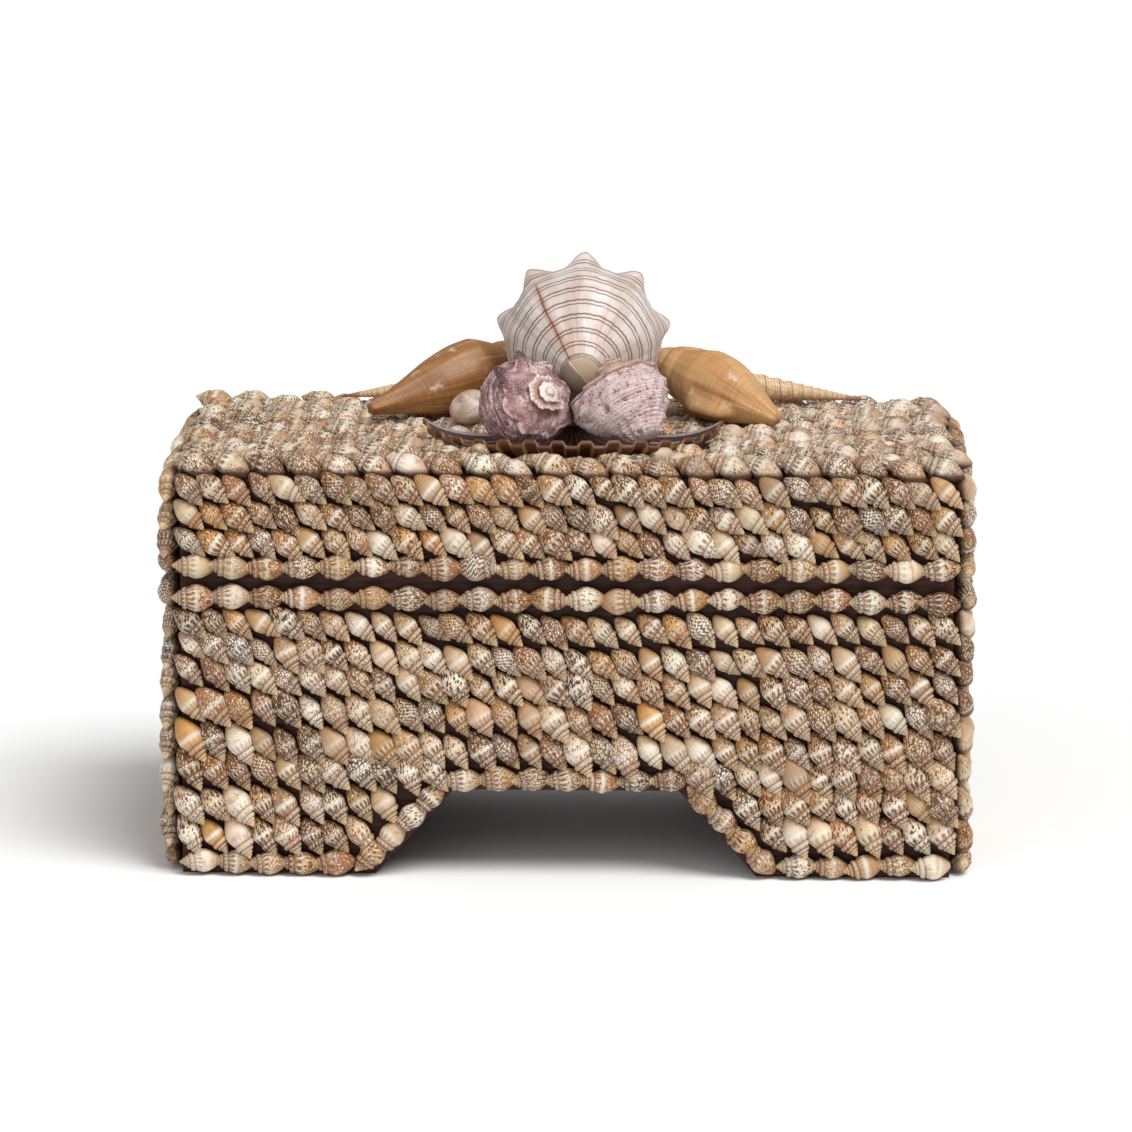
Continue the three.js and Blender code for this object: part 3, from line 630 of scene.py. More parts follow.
class Bed:
    """The small shells of one face: their places on it, then one mesh of them all."""

    def __init__(self, origin, across, out, up=(0, 0, 1)):
        self.origin = np.array(origin, float)
        self.axes = np.array([across, up, out], float)
        self.shells = []
        self.bleach = (0.0, 0.0)

    def lay(self, u, v, heading, length, tilt=0.0, lift=0.0, girth=1.0):
        """One shell at (u, v), its apex towards heading degrees from across, raised by tilt degrees."""
        self.shells.append((u, v, heading, length, tilt, lift, girth))

    def build(self, name, node, look, sides, body_rings, whorls):
        rings = coil_rings(SMALL, body_rings, (np.arange(whorls)[:, None] + WHORL_STEPS).ravel())
        turns = spaced_turns(sides)
        grid = coil_points(SMALL, rings, turns)
        caps = np.array([[0, 0, SMALL.shoulder - CANAL_CAP], [0, 0, SMALL.shoulder]])
        form = np.concatenate([grid.reshape(-1, 3), caps])
        form[:, 2] += SMALL_MIDDLE - SMALL.shoulder
        tube = Tube(len(rings), sides)
        count = len(self.shells)
        u, v, heading, length, tilt, lift, girth = np.array(self.shells).T
        heading, tilt = np.radians(heading), np.radians(tilt)
        axis = tuples(np.cos(heading) * np.cos(tilt), np.sin(heading) * np.cos(tilt), np.sin(tilt))
        top = tuples(-np.cos(heading) * np.sin(tilt), -np.sin(heading) * np.sin(tilt), np.cos(tilt))
        side = np.cross(axis, top)
        roll = chance.normal(0, ROLL_JITTER, count)
        first = np.cos(roll)[:, None] * top + np.sin(roll)[:, None] * side
        second = np.cross(axis, first)
        wide = (length * girth)[:, None, None]
        across, outward = form[None, :, 0:1], form[None, :, 1:2]
        flat = -(across * first[:, None] + outward * second[:, None])
        squash = np.array([1, 1, SMALL_HEIGHT])
        local = flat * wide * squash + form[None, :, 2:3] * axis[:, None] * length[:, None, None]
        rest = SMALL_GIRTH * length * girth * SMALL_HEIGHT - SMALL_SINK + lift
        local += tuples(u, v, rest)[:, None]
        points = self.origin + local.reshape(-1, 3) @ self.axes
        # Each point's height over the bed, as a share of the shell's height; the look paints shade where this
        # is low
        rise = local[:, :, 2] / (2 * rest[:, None])
        shift = (np.arange(count) * tube.size)[:, None, None]
        quads = (tube.quads[None] + shift).reshape(-1, 4)
        triangles = (tube.triangles[None] + shift).reshape(-1, 3)
        piece = make_piece(name, points * MM, [quads, triangles], look, [node])
        self.mark(piece, tube, rings, turns, count)
        give_vector(piece, "rise", np.repeat(rise.reshape(-1, 1), 3, 1))
        return piece

    def mark(self, piece, tube, rings, turns, count):
        """The pattern's coordinates on each shell, its own cell of the baked map, and its colours."""
        closed = np.append(turns, 1.0)
        around = np.interp(tube.corner_sides, np.arange(len(closed)), closed)
        level = whorl_number(SMALL, rings)
        whorl = tube.at_corners(level, level[-1] - 0.5)
        cells = math.ceil(math.sqrt(count))
        index = np.arange(count)
        quad_corners = tube.quads.size
        patterns, maps = [], []
        for part in (slice(0, quad_corners), slice(quad_corners, None)):
            pattern = tuples(around[part], whorl[part])
            patterns.append(np.tile(pattern, (count, 1)))
            corner = tuples(tube.corner_sides[part] / len(turns), tube.corner_share[part])
            corner = inset(corner, CELL_MARGIN)
            cell = tuples(index % cells, index // cells)
            maps.append(((corner[None] + cell[:, None]) / cells).reshape(-1, 2))
        give_uv(piece, "spiral", np.concatenate(patterns))
        give_uv(piece, "OFBake", np.concatenate(maps))
        bleach = np.interp([shell[0] for shell in self.shells], (-HALF_WIDTH, HALF_WIDTH), self.bleach)
        for label, values in small_colours(count, bleach).items():
            give_vector(piece, label, np.repeat(values, tube.size, 0))


def spaced_turns(sides):
    """Places round a small shell, closer together on its outer side than on the glued one."""
    t = np.arange(sides) / sides
    return t + OUTER_CROWDING * np.sin(TURN * t)


BASE_COLOURS = np.array([rgb(*c)[:3] for c in (
    (205, 182, 149), (226, 210, 187), (188, 155, 113), (178, 139, 91), (168, 140, 110), (198, 165, 131))])
BASE_SHARES = (0.3, 0.22, 0.2, 0.1, 0.1, 0.08)
MARK_COLOURS = np.array([rgb(*c)[:3] for c in (
    (108, 60, 28), (78, 42, 21), (138, 82, 38), (48, 28, 22), (92, 62, 44))])
MARK_SHARES = (0.3, 0.28, 0.18, 0.12, 0.12)
GOLDEN = np.array(rgb(200, 150, 90)[:3])
GOLDEN_SHARE = 0.06
BLEACHED = np.array(rgb(238, 228, 214)[:3])
DENSITY, DENSITY_RANGE = (0.81, 0.15), (0.35, 1.1)
PLAIN_BELOW, DARK_ABOVE = 0.14, 0.66
PLAIN_DENSITY, DARK_DENSITY = (0.0, 0.22), (0.9, 1.15)
SPECKS, NET, ZIGZAG = 0.0, 0.5, 1.0
STYLE_SHARES = (0.6, 0.35, 0.05)
BLEACHED_STYLE_SHARES = (0.66, 0.34, 0)
# The share of shells with a strong trait, then the strong and the weak range
TAN = (0.4, (0.4, 0.9), (0, 0.3))
RIBBED = (0.45, (0.6, 1), (0, 0.3))
BANDED_RANGE = (0.1, 1)


def for_some(count, share, strong, weak):
    """A value in the strong range for that share of the shells, and in the weak range for the rest."""
    chosen = chance.random(count) < share
    return np.where(chosen, chance.uniform(*strong, count), chance.uniform(*weak, count))


def small_colours(count, bleach):
    """Each small shell's ground and mark colours, its marks' seed, thickness and style, and other traits."""
    base = BASE_COLOURS[chance.choice(len(BASE_COLOURS), count, p=BASE_SHARES)]
    base = base * chance.normal(1, 0.07, (count, 1)) * chance.normal(1, 0.015, (count, 3))
    mark = MARK_COLOURS[chance.choice(len(MARK_COLOURS), count, p=MARK_SHARES)]
    density = np.clip(chance.normal(*DENSITY, count), *DENSITY_RANGE)
    sort = chance.random(count)
    plain, dark = sort < PLAIN_BELOW, sort > DARK_ABOVE
    density[plain] = chance.uniform(*PLAIN_DENSITY, plain.sum())
    density[dark] = chance.uniform(*DARK_DENSITY, dark.sum())
    golden = chance.random(count) < GOLDEN_SHARE
    base[golden] = GOLDEN * chance.normal(1, 0.06, (golden.sum(), 1))
    base += (BLEACHED - base) * bleach[:, None]
    density *= 1 - bleach
    shares = BLEACHED_STYLE_SHARES if bleach.any() else STYLE_SHARES
    style = chance.choice([SPECKS, NET, ZIGZAG], count, p=shares)
    style[plain] = SPECKS
    seed = chance.uniform(0, 60, count)
    tan = for_some(count, *TAN)
    ribbed = for_some(count, *RIBBED)
    return {
        "base_colour": np.clip(base, 0, 0.95),
        "mark_colour": mark,
        "kind": tuples(seed, density, style),
        "traits": tuples(tan, chance.uniform(*BANDED_RANGE, count), ribbed),
    }


# Where the small shells lie, in millimetres and degrees; a value drawn by chance has its mean and spread

HALF_WIDTH = 145.0
HALF_DEPTH = 67.5
LID_TOP = 153.0
ARCH_HEIGHT = 33.0
ARCH_TOP = 42.5
ARCH_FOOT = 72.0
# Each slanted row: its levels at the left and right end, its heading, its shells' length and its sag
LID_BORDER = 119.4
LID_ROWS = (
    ((148.8, 148.8), -43, 16.4, 0), ((138.4, 138.2), -43, 16.4, 0), ((128.6, 128.4), -43, 16.4, 0))
BODY_BORDER = 107.4
BODY_ROWS = (
    ((97.9, 97.4), -45, 16.4, 2.0), ((88.6, 85.4), -48, 16.6, 3.8), ((78.9, 75.0), -51, 17.0, 4.0),
    ((66.5, 63.0), -55, 17.8, 3.4), ((52.9, 50.6), -57, 18.2, 3.2), ((41.1, 39.1), -58, 18.4, 0),
    ((27.4, 28.7), -57, 18.2, 0), ((15.2, 17.8), -56, 17.6, 0))
FLOOR_BORDER = 5.3
SLANT_PITCH = 9.1
SLANT_SLIP, SLANT_DROP, SLANT_SWING = 0.35, 0.45, 5.5
SLANT_TILT, SLANT_GIRTH = (12.0, 3.0), (0.915, 0.05)
SLANT_SIZE, SLANT_SIZE_RANGE = (1, 0.055), (0.87, 1.12)
BORDER_PITCH = 13.1
BORDER_LENGTH = (16.4, 0.6)
BORDER_DROP, BORDER_SWING = 0.3, 4
BORDER_TILT, BORDER_GIRTH = (10, 2.5), (1.02, 0.05)
BORDER_FLIPPED = 0.04
ARCH_MARGIN = 9.6
ARCH_BORDER_RISE = 5.0
ARCH_BORDER_REACH = 3
LEG_OFFSET = 5.2
LEG_FOOT, LEG_TOP = 4.0, ARCH_HEIGHT + 1.5
LEG_PITCH = 11.5
FOOT_GAP = 9
CORNER_GAP = 1
LOWEST_SHARE = 0.305
END_REACH = 1.0


def arch_distance(u, v):
    """How far a point of the front lies outside the arch between the feet; negative inside it."""
    run = ARCH_FOOT - ARCH_TOP
    slanted = ((abs(u) - ARCH_FOOT) * ARCH_HEIGHT + v * run) / math.hypot(ARCH_HEIGHT, run)
    return max(slanted, v - ARCH_HEIGHT)


def slanted_row(bed, half, levels, heading, length, sag, keep):
    """A row of shells side by side, each with its apex down to the right over the row below."""
    count = round(2 * half / SLANT_PITCH)
    pitch = 2 * half / count
    for i in range(count):
        u = -half + pitch * (i + 0.5) + chance.normal(0, SLANT_SLIP)
        v = levels[0] + (levels[1] - levels[0]) * (u / half + 1) / 2 + chance.normal(0, SLANT_DROP)
        v -= sag * (1 - (u / half) ** 2)
        if keep and not keep(u, v):
            continue
        size = length * np.clip(chance.normal(*SLANT_SIZE), *SLANT_SIZE_RANGE)
        tilt, girth = chance.normal(*SLANT_TILT), chance.normal(*SLANT_GIRTH)
        bed.lay(u, v, heading + chance.normal(0, SLANT_SWING), size, tilt, 0.0, girth)


def border_row(bed, start, end, pitch=BORDER_PITCH):
    """Shells end to end along a line, each apex towards the start over the last shell's canal."""
    start, end = np.array(start, float), np.array(end, float)
    span = np.linalg.norm(end - start)
    count = max(1, round(span / pitch))
    heading = math.degrees(math.atan2(*(start - end)[::-1]))
    for i in range(count):
        u, v = start + (end - start) * (i + 0.5) / count
        turned = 180 if chance.random() < BORDER_FLIPPED else 0
        size = chance.normal(*BORDER_LENGTH)
        girth = chance.normal(*BORDER_GIRTH)
        tilt = chance.normal(*BORDER_TILT)
        v = max(v + chance.normal(0, BORDER_DROP), LOWEST_SHARE * size * girth)
        bed.lay(u, v, heading + turned + chance.normal(0, BORDER_SWING), size, tilt, 0.0, girth)


def rows_across(bed, half, border, rows, keep=None):
    """A border row at the top or bottom, and the slanted rows."""
    end = half + END_REACH
    border_row(bed, (-end, border), (end, border))
    for row in rows:
        slanted_row(bed, end, *row, keep)


def arched_face(side, origin, across, out):
    """Front or back: the rows above the arch, and those of the two feet, each as its own piece."""
    wall, left, right, whole = (Bed(origin, across, out) for _ in range(4))
    rows_across(whole, HALF_WIDTH, BODY_BORDER, BODY_ROWS, lambda u, v: arch_distance(u, v) > ARCH_MARGIN)
    level, reach = ARCH_HEIGHT + ARCH_BORDER_RISE, ARCH_TOP + ARCH_BORDER_REACH
    border_row(whole, (-reach, level), (reach, level))
    for sign in (-1, 1):
        foot = (sign * (ARCH_FOOT + LEG_OFFSET), LEG_FOOT)
        top = (sign * (ARCH_TOP + LEG_OFFSET), LEG_TOP)
        ends = (foot, top) if sign < 0 else (top, foot)
        border_row(whole, *ends, LEG_PITCH)
        inner, outer = ARCH_FOOT + FOOT_GAP, HALF_WIDTH - CORNER_GAP
        ends = (-outer, -inner) if sign < 0 else (inner, outer)
        border_row(whole, (ends[0], FLOOR_BORDER), (ends[1], FLOOR_BORDER))
    for shell in whole.shells:
        bed = wall if shell[1] > ARCH_HEIGHT else left if shell[0] < 0 else right
        bed.shells.append(shell)
    return {f"{side}_wall_shells": wall, f"{side}_left_foot_shells": left, f"{side}_right_foot_shells": right}


def side_face(origin, across, out):
    bed = Bed(origin, across, out)
    rows_across(bed, HALF_DEPTH, BODY_BORDER, BODY_ROWS)
    end = HALF_DEPTH - CORNER_GAP
    border_row(bed, (-end, FLOOR_BORDER), (end, FLOOR_BORDER))
    return bed


def rim_face(origin, across, out, half):
    bed = Bed(origin, across, out)
    rows_across(bed, half, LID_BORDER, LID_ROWS)
    return bed


TOP_ROWS = 10
TOP_PITCH = 13.6
TOP_BLEACH = (0.04, 0.3)
TOP_DROP = 0.8
TOP_GIRTH = (1.0, 0.05)
FRONT_EDGE = SimpleNamespace(
    slip=0.5, back=-4.8, heading=(157, 5), length=(18.6, 0.6), tilt=(21, 3), lift=-1.5)
TOP_ROW = SimpleNamespace(slip=1.2, back=0, heading=(154, 11), length=(16.4, 0.6), tilt=(9, 3), lift=0.2)
FILLER = SimpleNamespace(
    slip=0.5, heading=(158, 7), length=(15, 0.7), tilt=(8, 4), lift=-0.6, back_gap=3, right_gap=2)
END_ON_SHELL = dict(u=-33.5, v=-55.5, heading=-90, length=10.5, tilt=38, lift=3.4, girth=1.35)
CLEARING_MARGIN = 3
CLEARING_WIDENING = 0.03
SCALLOP = SimpleNamespace(
    hinge=(1.5, 6.0), radius=66.0, half_angle=math.radians(61), rim=LID_TOP + 10, depth=9.2,
    half_width=56.0, half_length=33.0, middle=-26.0, beak=0.06, corner=0.01, wall=1.8, wave=1.0,
    squareness=3.6, tip_lift=1.5, columns=RIBS * 22, steps=36)


def in_clearing(u, v):
    """Whether a shell there would lie under the scallop dish."""
    x, y = u - SCALLOP.hinge[0], v - SCALLOP.hinge[1] - CLEARING_MARGIN
    near = math.hypot(x, y) < SCALLOP.radius - CLEARING_MARGIN
    return near and abs(math.atan2(x, -y)) < SCALLOP.half_angle + CLEARING_WIDENING


def top_face():
    """The lid's top: rows from front to back, each shell leaning on the one to its left."""
    bed = Bed((0, 0, LID_TOP), (1, 0, 0), (0, 0, 1), up=(0, 1, 0))
    bed.bleach = TOP_BLEACH
    depth = 2 * HALF_DEPTH / TOP_ROWS
    left, right = -HALF_WIDTH - END_REACH, HALF_WIDTH + 2 * END_REACH
    count = round((right - left) / TOP_PITCH)
    pitch = (right - left) / count
    for row in range(TOP_ROWS):
        kind = TOP_ROW if row else FRONT_EDGE
        for i in range(count):
            u = left + pitch * (i + 0.5) + chance.normal(0, kind.slip)
            v = -HALF_DEPTH + depth * (row + 0.5) + chance.normal(0, TOP_DROP) + kind.back
            if in_clearing(u, v):
                continue
            heading, size = chance.normal(*kind.heading), chance.normal(*kind.length)
            tilt, girth = chance.normal(*kind.tilt), chance.normal(*TOP_GIRTH)
            bed.lay(u, v, heading, size, tilt, kind.lift, girth)
        for i in range(count):
            u = left + pitch * (i + 1.0) + chance.normal(0, FILLER.slip)
            v = -HALF_DEPTH + depth * (row + 1.0) + chance.normal(0, FILLER.slip)
            at_edge = v > HALF_DEPTH - FILLER.back_gap or u > HALF_WIDTH - FILLER.right_gap
            if at_edge or in_clearing(u, v):
                continue
            lie = (chance.normal(*spread) for spread in (FILLER.heading, FILLER.length, FILLER.tilt))
            bed.lay(u, v, *lie, FILLER.lift)
    bed.lay(**END_ON_SHELL)
    return bed


wood = wood_look()
for node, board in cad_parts.items():
    if node.endswith("_board"):
        board.data.materials.clear()
        board.data.materials.append(wood)

FRONT = ((0, -HALF_DEPTH, 0), (1, 0, 0), (0, -1, 0))
BACK = ((0, HALF_DEPTH, 0), (-1, 0, 0), (0, 1, 0))
RIGHT = ((HALF_WIDTH, 0, 0), (0, 1, 0), (1, 0, 0))
LEFT = ((-HALF_WIDTH, 0, 0), (0, -1, 0), (-1, 0, 0))
# Sides, rings on the body and whorls of each small shell's mesh
FINE = (14, 7, 4)
PLAIN = (12, 6, 3)
TOP = (10, 6, 3)
small_look = small_shell_look()
beds = [
    (arched_face("front", *FRONT), FINE),
    ({"lid_front_shells": rim_face(*FRONT, HALF_WIDTH)}, FINE),
    ({"lid_top_shells": top_face()}, TOP),
    (arched_face("back", *BACK), PLAIN),
    ({"right_wall_shells": side_face(*RIGHT), "left_wall_shells": side_face(*LEFT)}, PLAIN),
    ({"lid_back_shells": rim_face(*BACK, HALF_WIDTH)}, PLAIN),
    ({"lid_right_shells": rim_face(*RIGHT, HALF_DEPTH)}, PLAIN),
    ({"lid_left_shells": rim_face(*LEFT, HALF_DEPTH)}, PLAIN),
]
for group, fineness in beds:
    for node, bed in group.items():
        bed.build(f"small_{node}", node, small_look, *fineness)


# The large shells

CONCH = Shell(
    [(50.0, 28.2), (56, 30.2), (64, 28.6), (72, 23.8), (83, 14.8),
     (92.4, 7.9), (93.2, 7.3), (94, 5.8), (94.7, 3.4), (95.2, 0.6)],
    suture=41.0, suture_slope=0.4, growth=1.62, body_twist=0.02,
    knobs=9, knob_height=5.4, knob_spread=0.17, knob_point=1.5)
WHELK = Shell(
    [(40.0, 14.0), (48, 13.6), (58, 11.4), (68, 8), (78, 4.8), (88.0, 2.2)],
    suture=35.0, suture_slope=0.3, growth=1.4, body_twist=0.1)
SHORT_WHELK = replace(
    WHELK, body=[(40.0, 14.6), (48, 14.2), (57, 11.8), (66, 8), (74, 4.8), (80.0, 2.4)],
    suture_slope=0.36, spire_slope=0.43)
ROCK = Shell(
    [(12.0, 14.0), (17, 16.2), (22, 16.6), (28, 13.8), (33, 9.4), (37.0, 5.5)],
    suture=9.0, suture_slope=0.8, growth=1.75, body_twist=0.2,
    knobs=8, knob_height=2.2, knob_spread=0.22)
TURRET = Shell(
    [(71.0, 8.8), (73, 7.8), (74.3, 5.6), (75.0, 2)],
    suture=65.9, suture_slope=0.107, growth=1.16, body_twist=1.0)
MOON = Shell(
    [(4.2, 7.0), (6.4, 8.6), (8.8, 8.1), (11.2, 5.6), (13.2, 1.6)],
    suture=2.9, suture_slope=1.45, growth=2.1, body_twist=0.3)


def conch_relief(reach, whorl, turns):
    """Low cords between the lines, folds running down from the knobs, and a small bump between knobs."""
    body = smooth(reach, 24, 50) * smooth(reach, 92, 80)
    cords = 0.1 * np.cos(TURN * reach / CONCH.length * 42)
    growth = 0.1 * np.sin(TURN * turns * 37 + 2.3 * np.sin(TURN * turns * 7))
    at_knobs = TURN * turns * CONCH.knobs
    folds = 0.45 * np.cos(at_knobs) * hump(whorl, 0.35, 0.3)
    between = 0.3 * np.maximum(0, np.cos(2 * at_knobs)) ** 3 * hump(whorl, 0, 0.1)
    return (cords + growth) * body + folds + between


def whelk_relief(reach, whorl, turns):
    """Uneven growth lines along the shell, and a soft swelling here and there."""
    growth = 0.07 * np.sin(TURN * turns * 31 + 2.6 * np.sin(TURN * turns * 5))
    swell = 0.3 * np.sin(TURN * turns * 5 + 0.6)
    return (growth + swell) * smooth(reach, 6, 30)


def lipped_whelk_relief(reach, whorl, turns):
    """The same, with the turned edge of an old lip low on the side."""
    along = smooth(reach, 40, 48) * smooth(reach, 66, 60)
    lip = 3.6 * hump(turns, 0.57, 0.034) - 0.9 * hump(turns, 0.65, 0.03)
    return whelk_relief(reach, whorl, turns) + lip * along


big_coil("striped_conch", "conch", conch_look(), CONCH, (180, 84, 26, 2.6),
         (4.6, 16, 192.8), (0, 0.983, 0.185), math.radians(-89), relief=conch_relief)
# Two copies of the ochre look: the darker one paints shade on the left whelk, and the lighter one paints
# light on the right whelk
shaded_whelk = whelk_look("shaded_ochre_whelk", (138, 89, 45), (170, 121, 70))
lit_whelk = whelk_look("lit_ochre_whelk", (190, 137, 83), (212, 168, 116))
big_coil("left_ochre_whelk", "left_whelk", shaded_whelk, WHELK, (100, 52, 15, 4.5),
         (-38, 27, 175.7), (0.81, 0.554, 0.2), relief=whelk_relief)
big_coil("right_ochre_whelk", "right_whelk", lit_whelk, SHORT_WHELK, (100, 48, 15, 4.5),
         (52.9, 20.1, 173.4), (-0.7, 0.68, 0.24), size=0.95, relief=lipped_whelk_relief,
         rests_on=LID_TOP + SMALL_CREST)


# The rock shells: each spine's turn and height, the cords round the body, and the turn that the lip is at
SPINES = ((0.372, 3.4), (0.482, 4.8))
CORDS = 33
LIP_TURN = 0.26
CRUST_SIZES = (7, 2.2, 0.9)


def left_rock_relief(reach, whorl, turns):
    """Wavy growth ridges on the body, a beaded keel, and two spines on its upper edge."""
    ridges = 0.4 * np.cos(TURN * (reach / ROCK.length * 10 + 0.22 * np.sin(TURN * turns * 6)))
    from_keel = whorl - np.minimum(0, np.round(whorl))
    beads = 0.35 * np.cos(TURN * turns * 22) * hump(from_keel, 0, 0.16)
    spines = sum(h * hump(turns, t, 0.026) * hump(whorl, 0, 0.22) for t, h in SPINES)
    return ridges * smooth(reach, 12, 18) + beads * (whorl < -0.6) + spines


def right_rock_relief(reach, whorl, turns):
    """Fine cords round the body, a flaring lip with a hollow behind it, and a toothed edge opposite."""
    on_body = smooth(reach, 9, 13)
    wander = 0.9 * np.sin(TURN * turns * 5 + 0.3 * reach) + 0.5 * np.sin(TURN * turns * 17)
    share = TURN * reach / ROCK.length
    cords = 0.11 * np.cos(share * CORDS + wander) + 0.22 * np.cos(share * 5 + 1.0 + wander)
    cords = cords + 0.2 * np.sin(TURN * turns * 15 + reach * 0.5)
    spread = np.where(turns > LIP_TURN, 0.075, 0.02)
    lip = 4.8 * hump(turns, LIP_TURN, spread)
    hollow = -4.0 * smooth(turns, LIP_TURN - 0.01, LIP_TURN - 0.06) * smooth(turns, 0.02, 0.1)
    along = smooth(reach, 8, 13) * smooth(reach, 36, 20)
    teeth = 1.1 * hump(turns, 0.75, 0.05) * np.maximum(0, np.cos(share * 9))
    return (cords + teeth) * on_body + (lip + hollow) * along


def crust(piece, local, seed, rough, spined=0.0):
    """Roughens a rock shell along its normals, and marks where it is worn white, hollow or dark."""
    mesh = piece.data
    count = len(mesh.vertices)
    points, normals = np.empty((2, count * 3), np.float32)
    mesh.vertices.foreach_get("co", points)
    mesh.vertex_normals.foreach_get("vector", normals)
    points, normals = points.reshape(-1, 3), normals.reshape(-1, 3)
    shift = Vector((seed, 0.3 * seed, 1.7 * seed))
    broad, fine, grain = (
        np.array([noise.noise(Vector(p) / size + shift) for p in local]) for size in CRUST_SIZES)
    away = smooth(np.linalg.norm(local - local[-1], axis=1), 7, 12)
    offset = rough * away * (0.8 * broad + 0.55 * fine + 0.3 * grain)
    mesh.vertices.foreach_set("co", (points + normals * offset[:, None] * MM).ravel())
    mesh.update()
    worn = smooth(broad + 0.5 * fine, 0.32, 0.5) * away
    deep = smooth(-broad - 0.6 * fine, 0.25, 0.6) * away
    out = np.hypot(local[:, 0], local[:, 1])
    turn = np.arctan2(local[:, 1], local[:, 0]) / TURN % 1
    at_spine = sum(hump(turn, t, 0.034) for t, _ in SPINES)
    tip = smooth(at_spine, 0.25, 0.6) * smooth(out, 14.6, 16.4) * smooth(np.abs(local[:, 2]), 5, 3) * spined
    give_vector(piece, "crust", tuples(worn, deep, tip))


ROCK_FINENESS = (144, 54, 32, 2.6)
mauve_look = rock_look(
    "mauve_rock_shell", (150, 104, 106), (196, 158, 156), (90, 56, 60),
    dark_share=0.06, growth=ROCK.growth, cord_count=9.0, shows_spire=True)
left_rock, local = big_coil(
    "left_pink_rock_shell", "left_rock_shell", mauve_look, ROCK, ROCK_FINENESS,
    (-12.8, -42, 178), (0.55, -0.724, 0.405), 0.0, 1.06, left_rock_relief, "whorl")
crust(left_rock, local, 3.1, 0.85, 1.0)
pale_look = rock_look(
    "pale_rock_shell", (206, 172, 170), (240, 222, 218), (140, 104, 104),
    dark_share=-0.02, growth=ROCK.growth, cord_count=CORDS * ROCK.shoulder / ROCK.length,
    shows_spire=False)
right_rock, local = big_coil(
    "right_pink_rock_shell", "right_rock_shell", pale_look, ROCK, ROCK_FINENESS,
    (18.6, -34, 183), (-0.42, 0.52, 0.744), math.radians(90), 1.0, right_rock_relief, "whorl")
crust(right_rock, local, 8.6, 0.55)

tan_turret_look = turret_look()
for side, x, lean in (("left", -22, -1), ("right", 46, 1)):
    big_coil(f"{side}_tan_turret", f"{side}_turret", tan_turret_look, TURRET, (40, 5, 12, 13),
             (x, 52, 169.4), (lean, 0.02, -0.115), by="whorl")
big_coil("pale_moon_snail", "moon_snail", moon_look(), MOON, (56, 26, 14, 2.4),
         (-39.4, -2.4, 169.7), (-0.3, -0.5, 0.8))

HALF_SHEET, SHEET_CORNER = (0.47, 0.96), (0.01, 0.02)


def scallop_piece():
    """The ribbed fan, hollow side up, with square ribs that step along its rim."""
    s = SCALLOP
    columns, steps = s.columns, s.steps
    k, i = np.mgrid[:steps + 1, :columns + 1]
    across = 2 * i / columns - 1
    out = s.beak + (1 - s.beak) * (k / steps) ** 0.75
    angle = s.half_angle * across
    reach = s.radius * out * (1 - s.corner * across ** 8)
    x, y = reach * np.sin(angle), s.hinge[1] - reach * np.cos(angle)
    from_middle = (x / s.half_width) ** 2 + ((y - s.middle) / s.half_length) ** 2
    dish = np.maximum(0, 1 - from_middle ** 2)
    rib = np.cos(TURN * RIB_PERIODS * (i / columns - RIB_OFFSET))
    square = np.tanh(s.squareness * rib) / math.tanh(s.squareness)
    growth = 0.1 * np.sin(TURN * out * 17) * out
    low = s.rim - s.depth * dish + s.wave * out * square
    low = low + s.tip_lift * out * across ** 4 + growth
    wall = s.wall * (0.55 + 0.45 * out)
    grid = tuples(s.hinge[0] + x, y, low)
    upper = grid + tuples(0, 0, wall)
    points = np.concatenate([grid.reshape(-1, 3), upper.reshape(-1, 3)])
    wide = columns + 1
    row, col = np.mgrid[:steps, :columns]
    a = (row * wide + col).ravel()
    b, c, d = a + 1, a + wide + 1, a + wide
    top = wide * (steps + 1)
    under = tuples(a, b, c, d)
    over = tuples(a, d, c, b) + top
    rows, cols = np.arange(steps), np.arange(columns)
    here, after = rows * wide, (rows + 1) * wide
    left = tuples(here, after, after + top, here + top)
    right = tuples(here, here + top, after + top, after) + columns
    hinge = tuples(cols, cols + top, cols + 1 + top, cols + 1)
    lip = tuples(cols, cols + 1, cols + 1 + top, cols + top) + steps * wide
    faces = np.concatenate([under, over, left, right, hinge, lip])
    piece = make_piece("ribbed_scallop", points * MM, [faces], scallop_look(), ["scallop"])
    fan = tuples((across + 1) / 2, out).reshape(-1, 2)
    corner = faces.ravel()
    give_uv(piece, "fan", np.concatenate([fan, fan])[corner])
    half = fan * HALF_SHEET + SHEET_CORNER
    sheet = np.concatenate([half, half + (0.5, 0)])
    give_uv(piece, "OFBake", sheet[corner])
    # Painted highlights along the rib flanks: full on the outside, faint on the inside and stronger towards
    # the rim
    flank_highlight = hump(rib, 0, 0.24).reshape(-1)
    at_rim = smooth(out, 0.97, 1.0).reshape(-1)
    inner = np.concatenate([np.zeros(len(flank_highlight)), 1 - at_rim])
    parts = tuples(np.tile(flank_highlight, 2) * np.concatenate([np.ones(len(flank_highlight)), at_rim * 0.6 + 0.1]),
                      inner, np.tile(at_rim, 2))
    give_vector(piece, "fan_parts", parts)


scallop_piece()


# The floor, the light and the camera

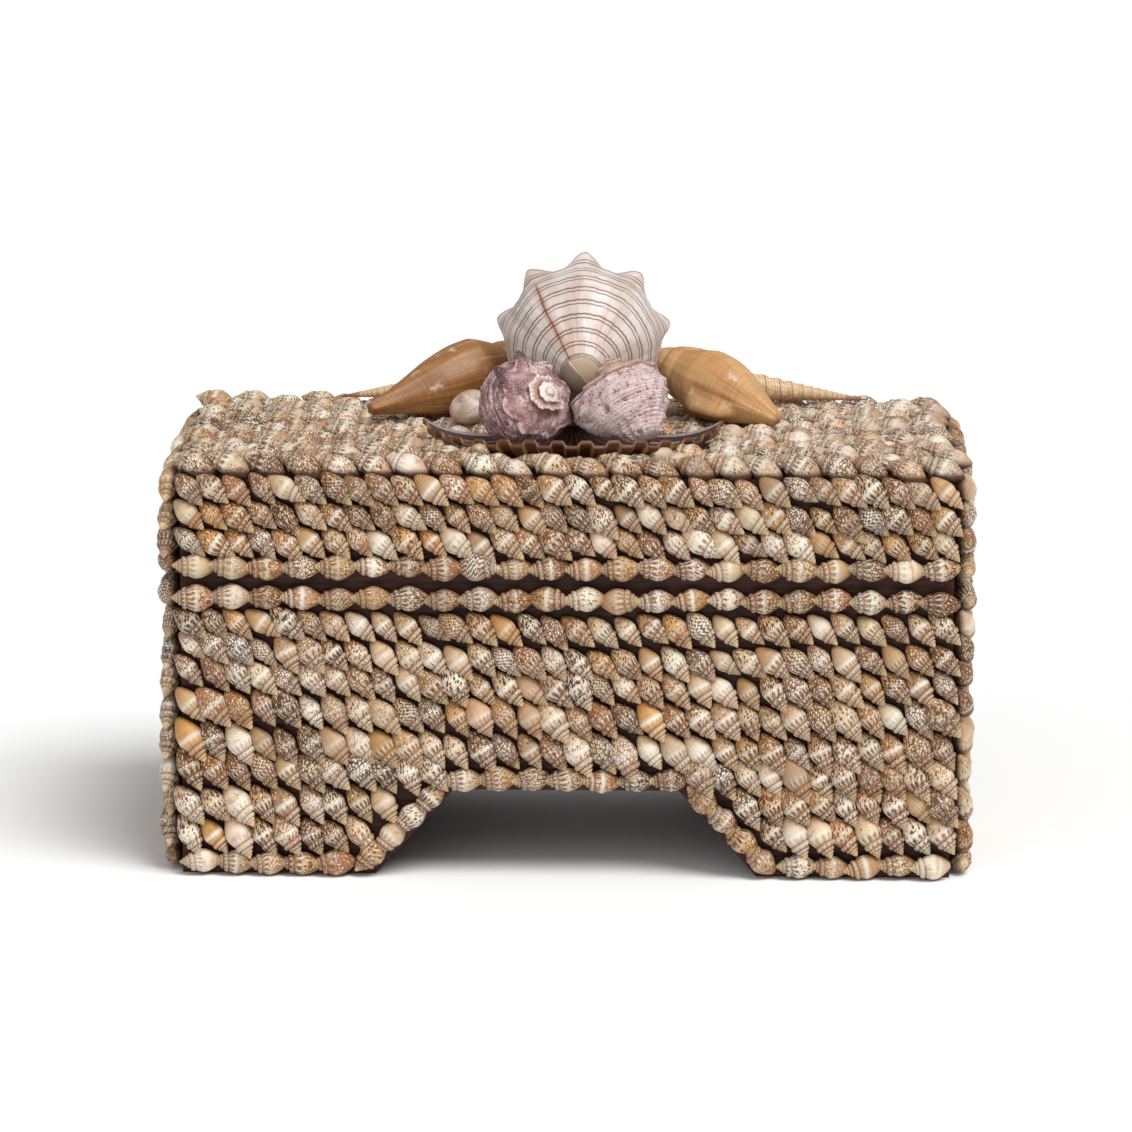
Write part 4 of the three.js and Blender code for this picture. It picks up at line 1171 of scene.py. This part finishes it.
FLOOR_REACH = 12.0
SKY_STRENGTH = 0.28


def stage_floor():
    mesh = bpy.data.meshes.new("pale_floor")
    corners = [(x * FLOOR_REACH, y * FLOOR_REACH, 0) for x, y in ((-1, -1), (1, -1), (1, 1), (-1, 1))]
    mesh.from_pydata(corners, [], [(0, 1, 2, 3)])
    floor = add_object("pale_floor", mesh)
    g = Graph("pale_floor", Roughness=0.9)
    tone = g.noise(g.place(), 3.0, 2.0)
    g.ground((250, 250, 250), (253, 253, 253), tone)
    mesh.materials.append(g.finish())


def soft_sun(name, source, spread, strength):
    """Even light over the whole floor from a broad source in that direction."""
    data = bpy.data.lights.new(name, "SUN")
    data.angle = math.radians(spread)
    data.energy = strength
    add_object(name, data).rotation_euler = Vector(source).to_track_quat("Z", "Y").to_euler()


stage_floor()
soft_sun("key", (0.42, -0.46, 1.0), 34, 2.6)
soft_sun("fill", (-0.3, -1.0, 0.6), 60, 0.75)
world = bpy.data.worlds.new("soft_white")
world.use_nodes = True
sky = world.node_tree.nodes["Background"].inputs
sky["Color"].default_value, sky["Strength"].default_value = (1, 1, 1, 1), SKY_STRENGTH
bpy.context.scene.world = world
bpy.context.scene.view_settings.view_transform = "Standard"

AZIMUTH, ELEVATION, ROLL = math.radians(0.828), math.radians(11.91), math.radians(0.228)
DISTANCE = 2.3
TARGET = Vector((-0.00135, 0, 0.1052))
IMAGE_SIDE, FOCAL_PIXELS = 1132, 5958.6
SENSOR = 36.0
camera_data = bpy.data.cameras.new("camera")
camera_data.sensor_width = SENSOR
camera_data.lens = SENSOR * FOCAL_PIXELS / IMAGE_SIDE
camera_data.clip_end = 60.0
camera = add_object("camera", camera_data)
level = math.cos(ELEVATION)
back = Vector((math.sin(AZIMUTH) * level, -math.cos(AZIMUTH) * level, math.sin(ELEVATION)))
camera.location = TARGET + back * DISTANCE
camera.rotation_mode = "QUATERNION"
camera.rotation_quaternion = back.to_track_quat("Z", "Y") @ Quaternion((0, 0, 1), ROLL)
bpy.context.scene.camera = camera
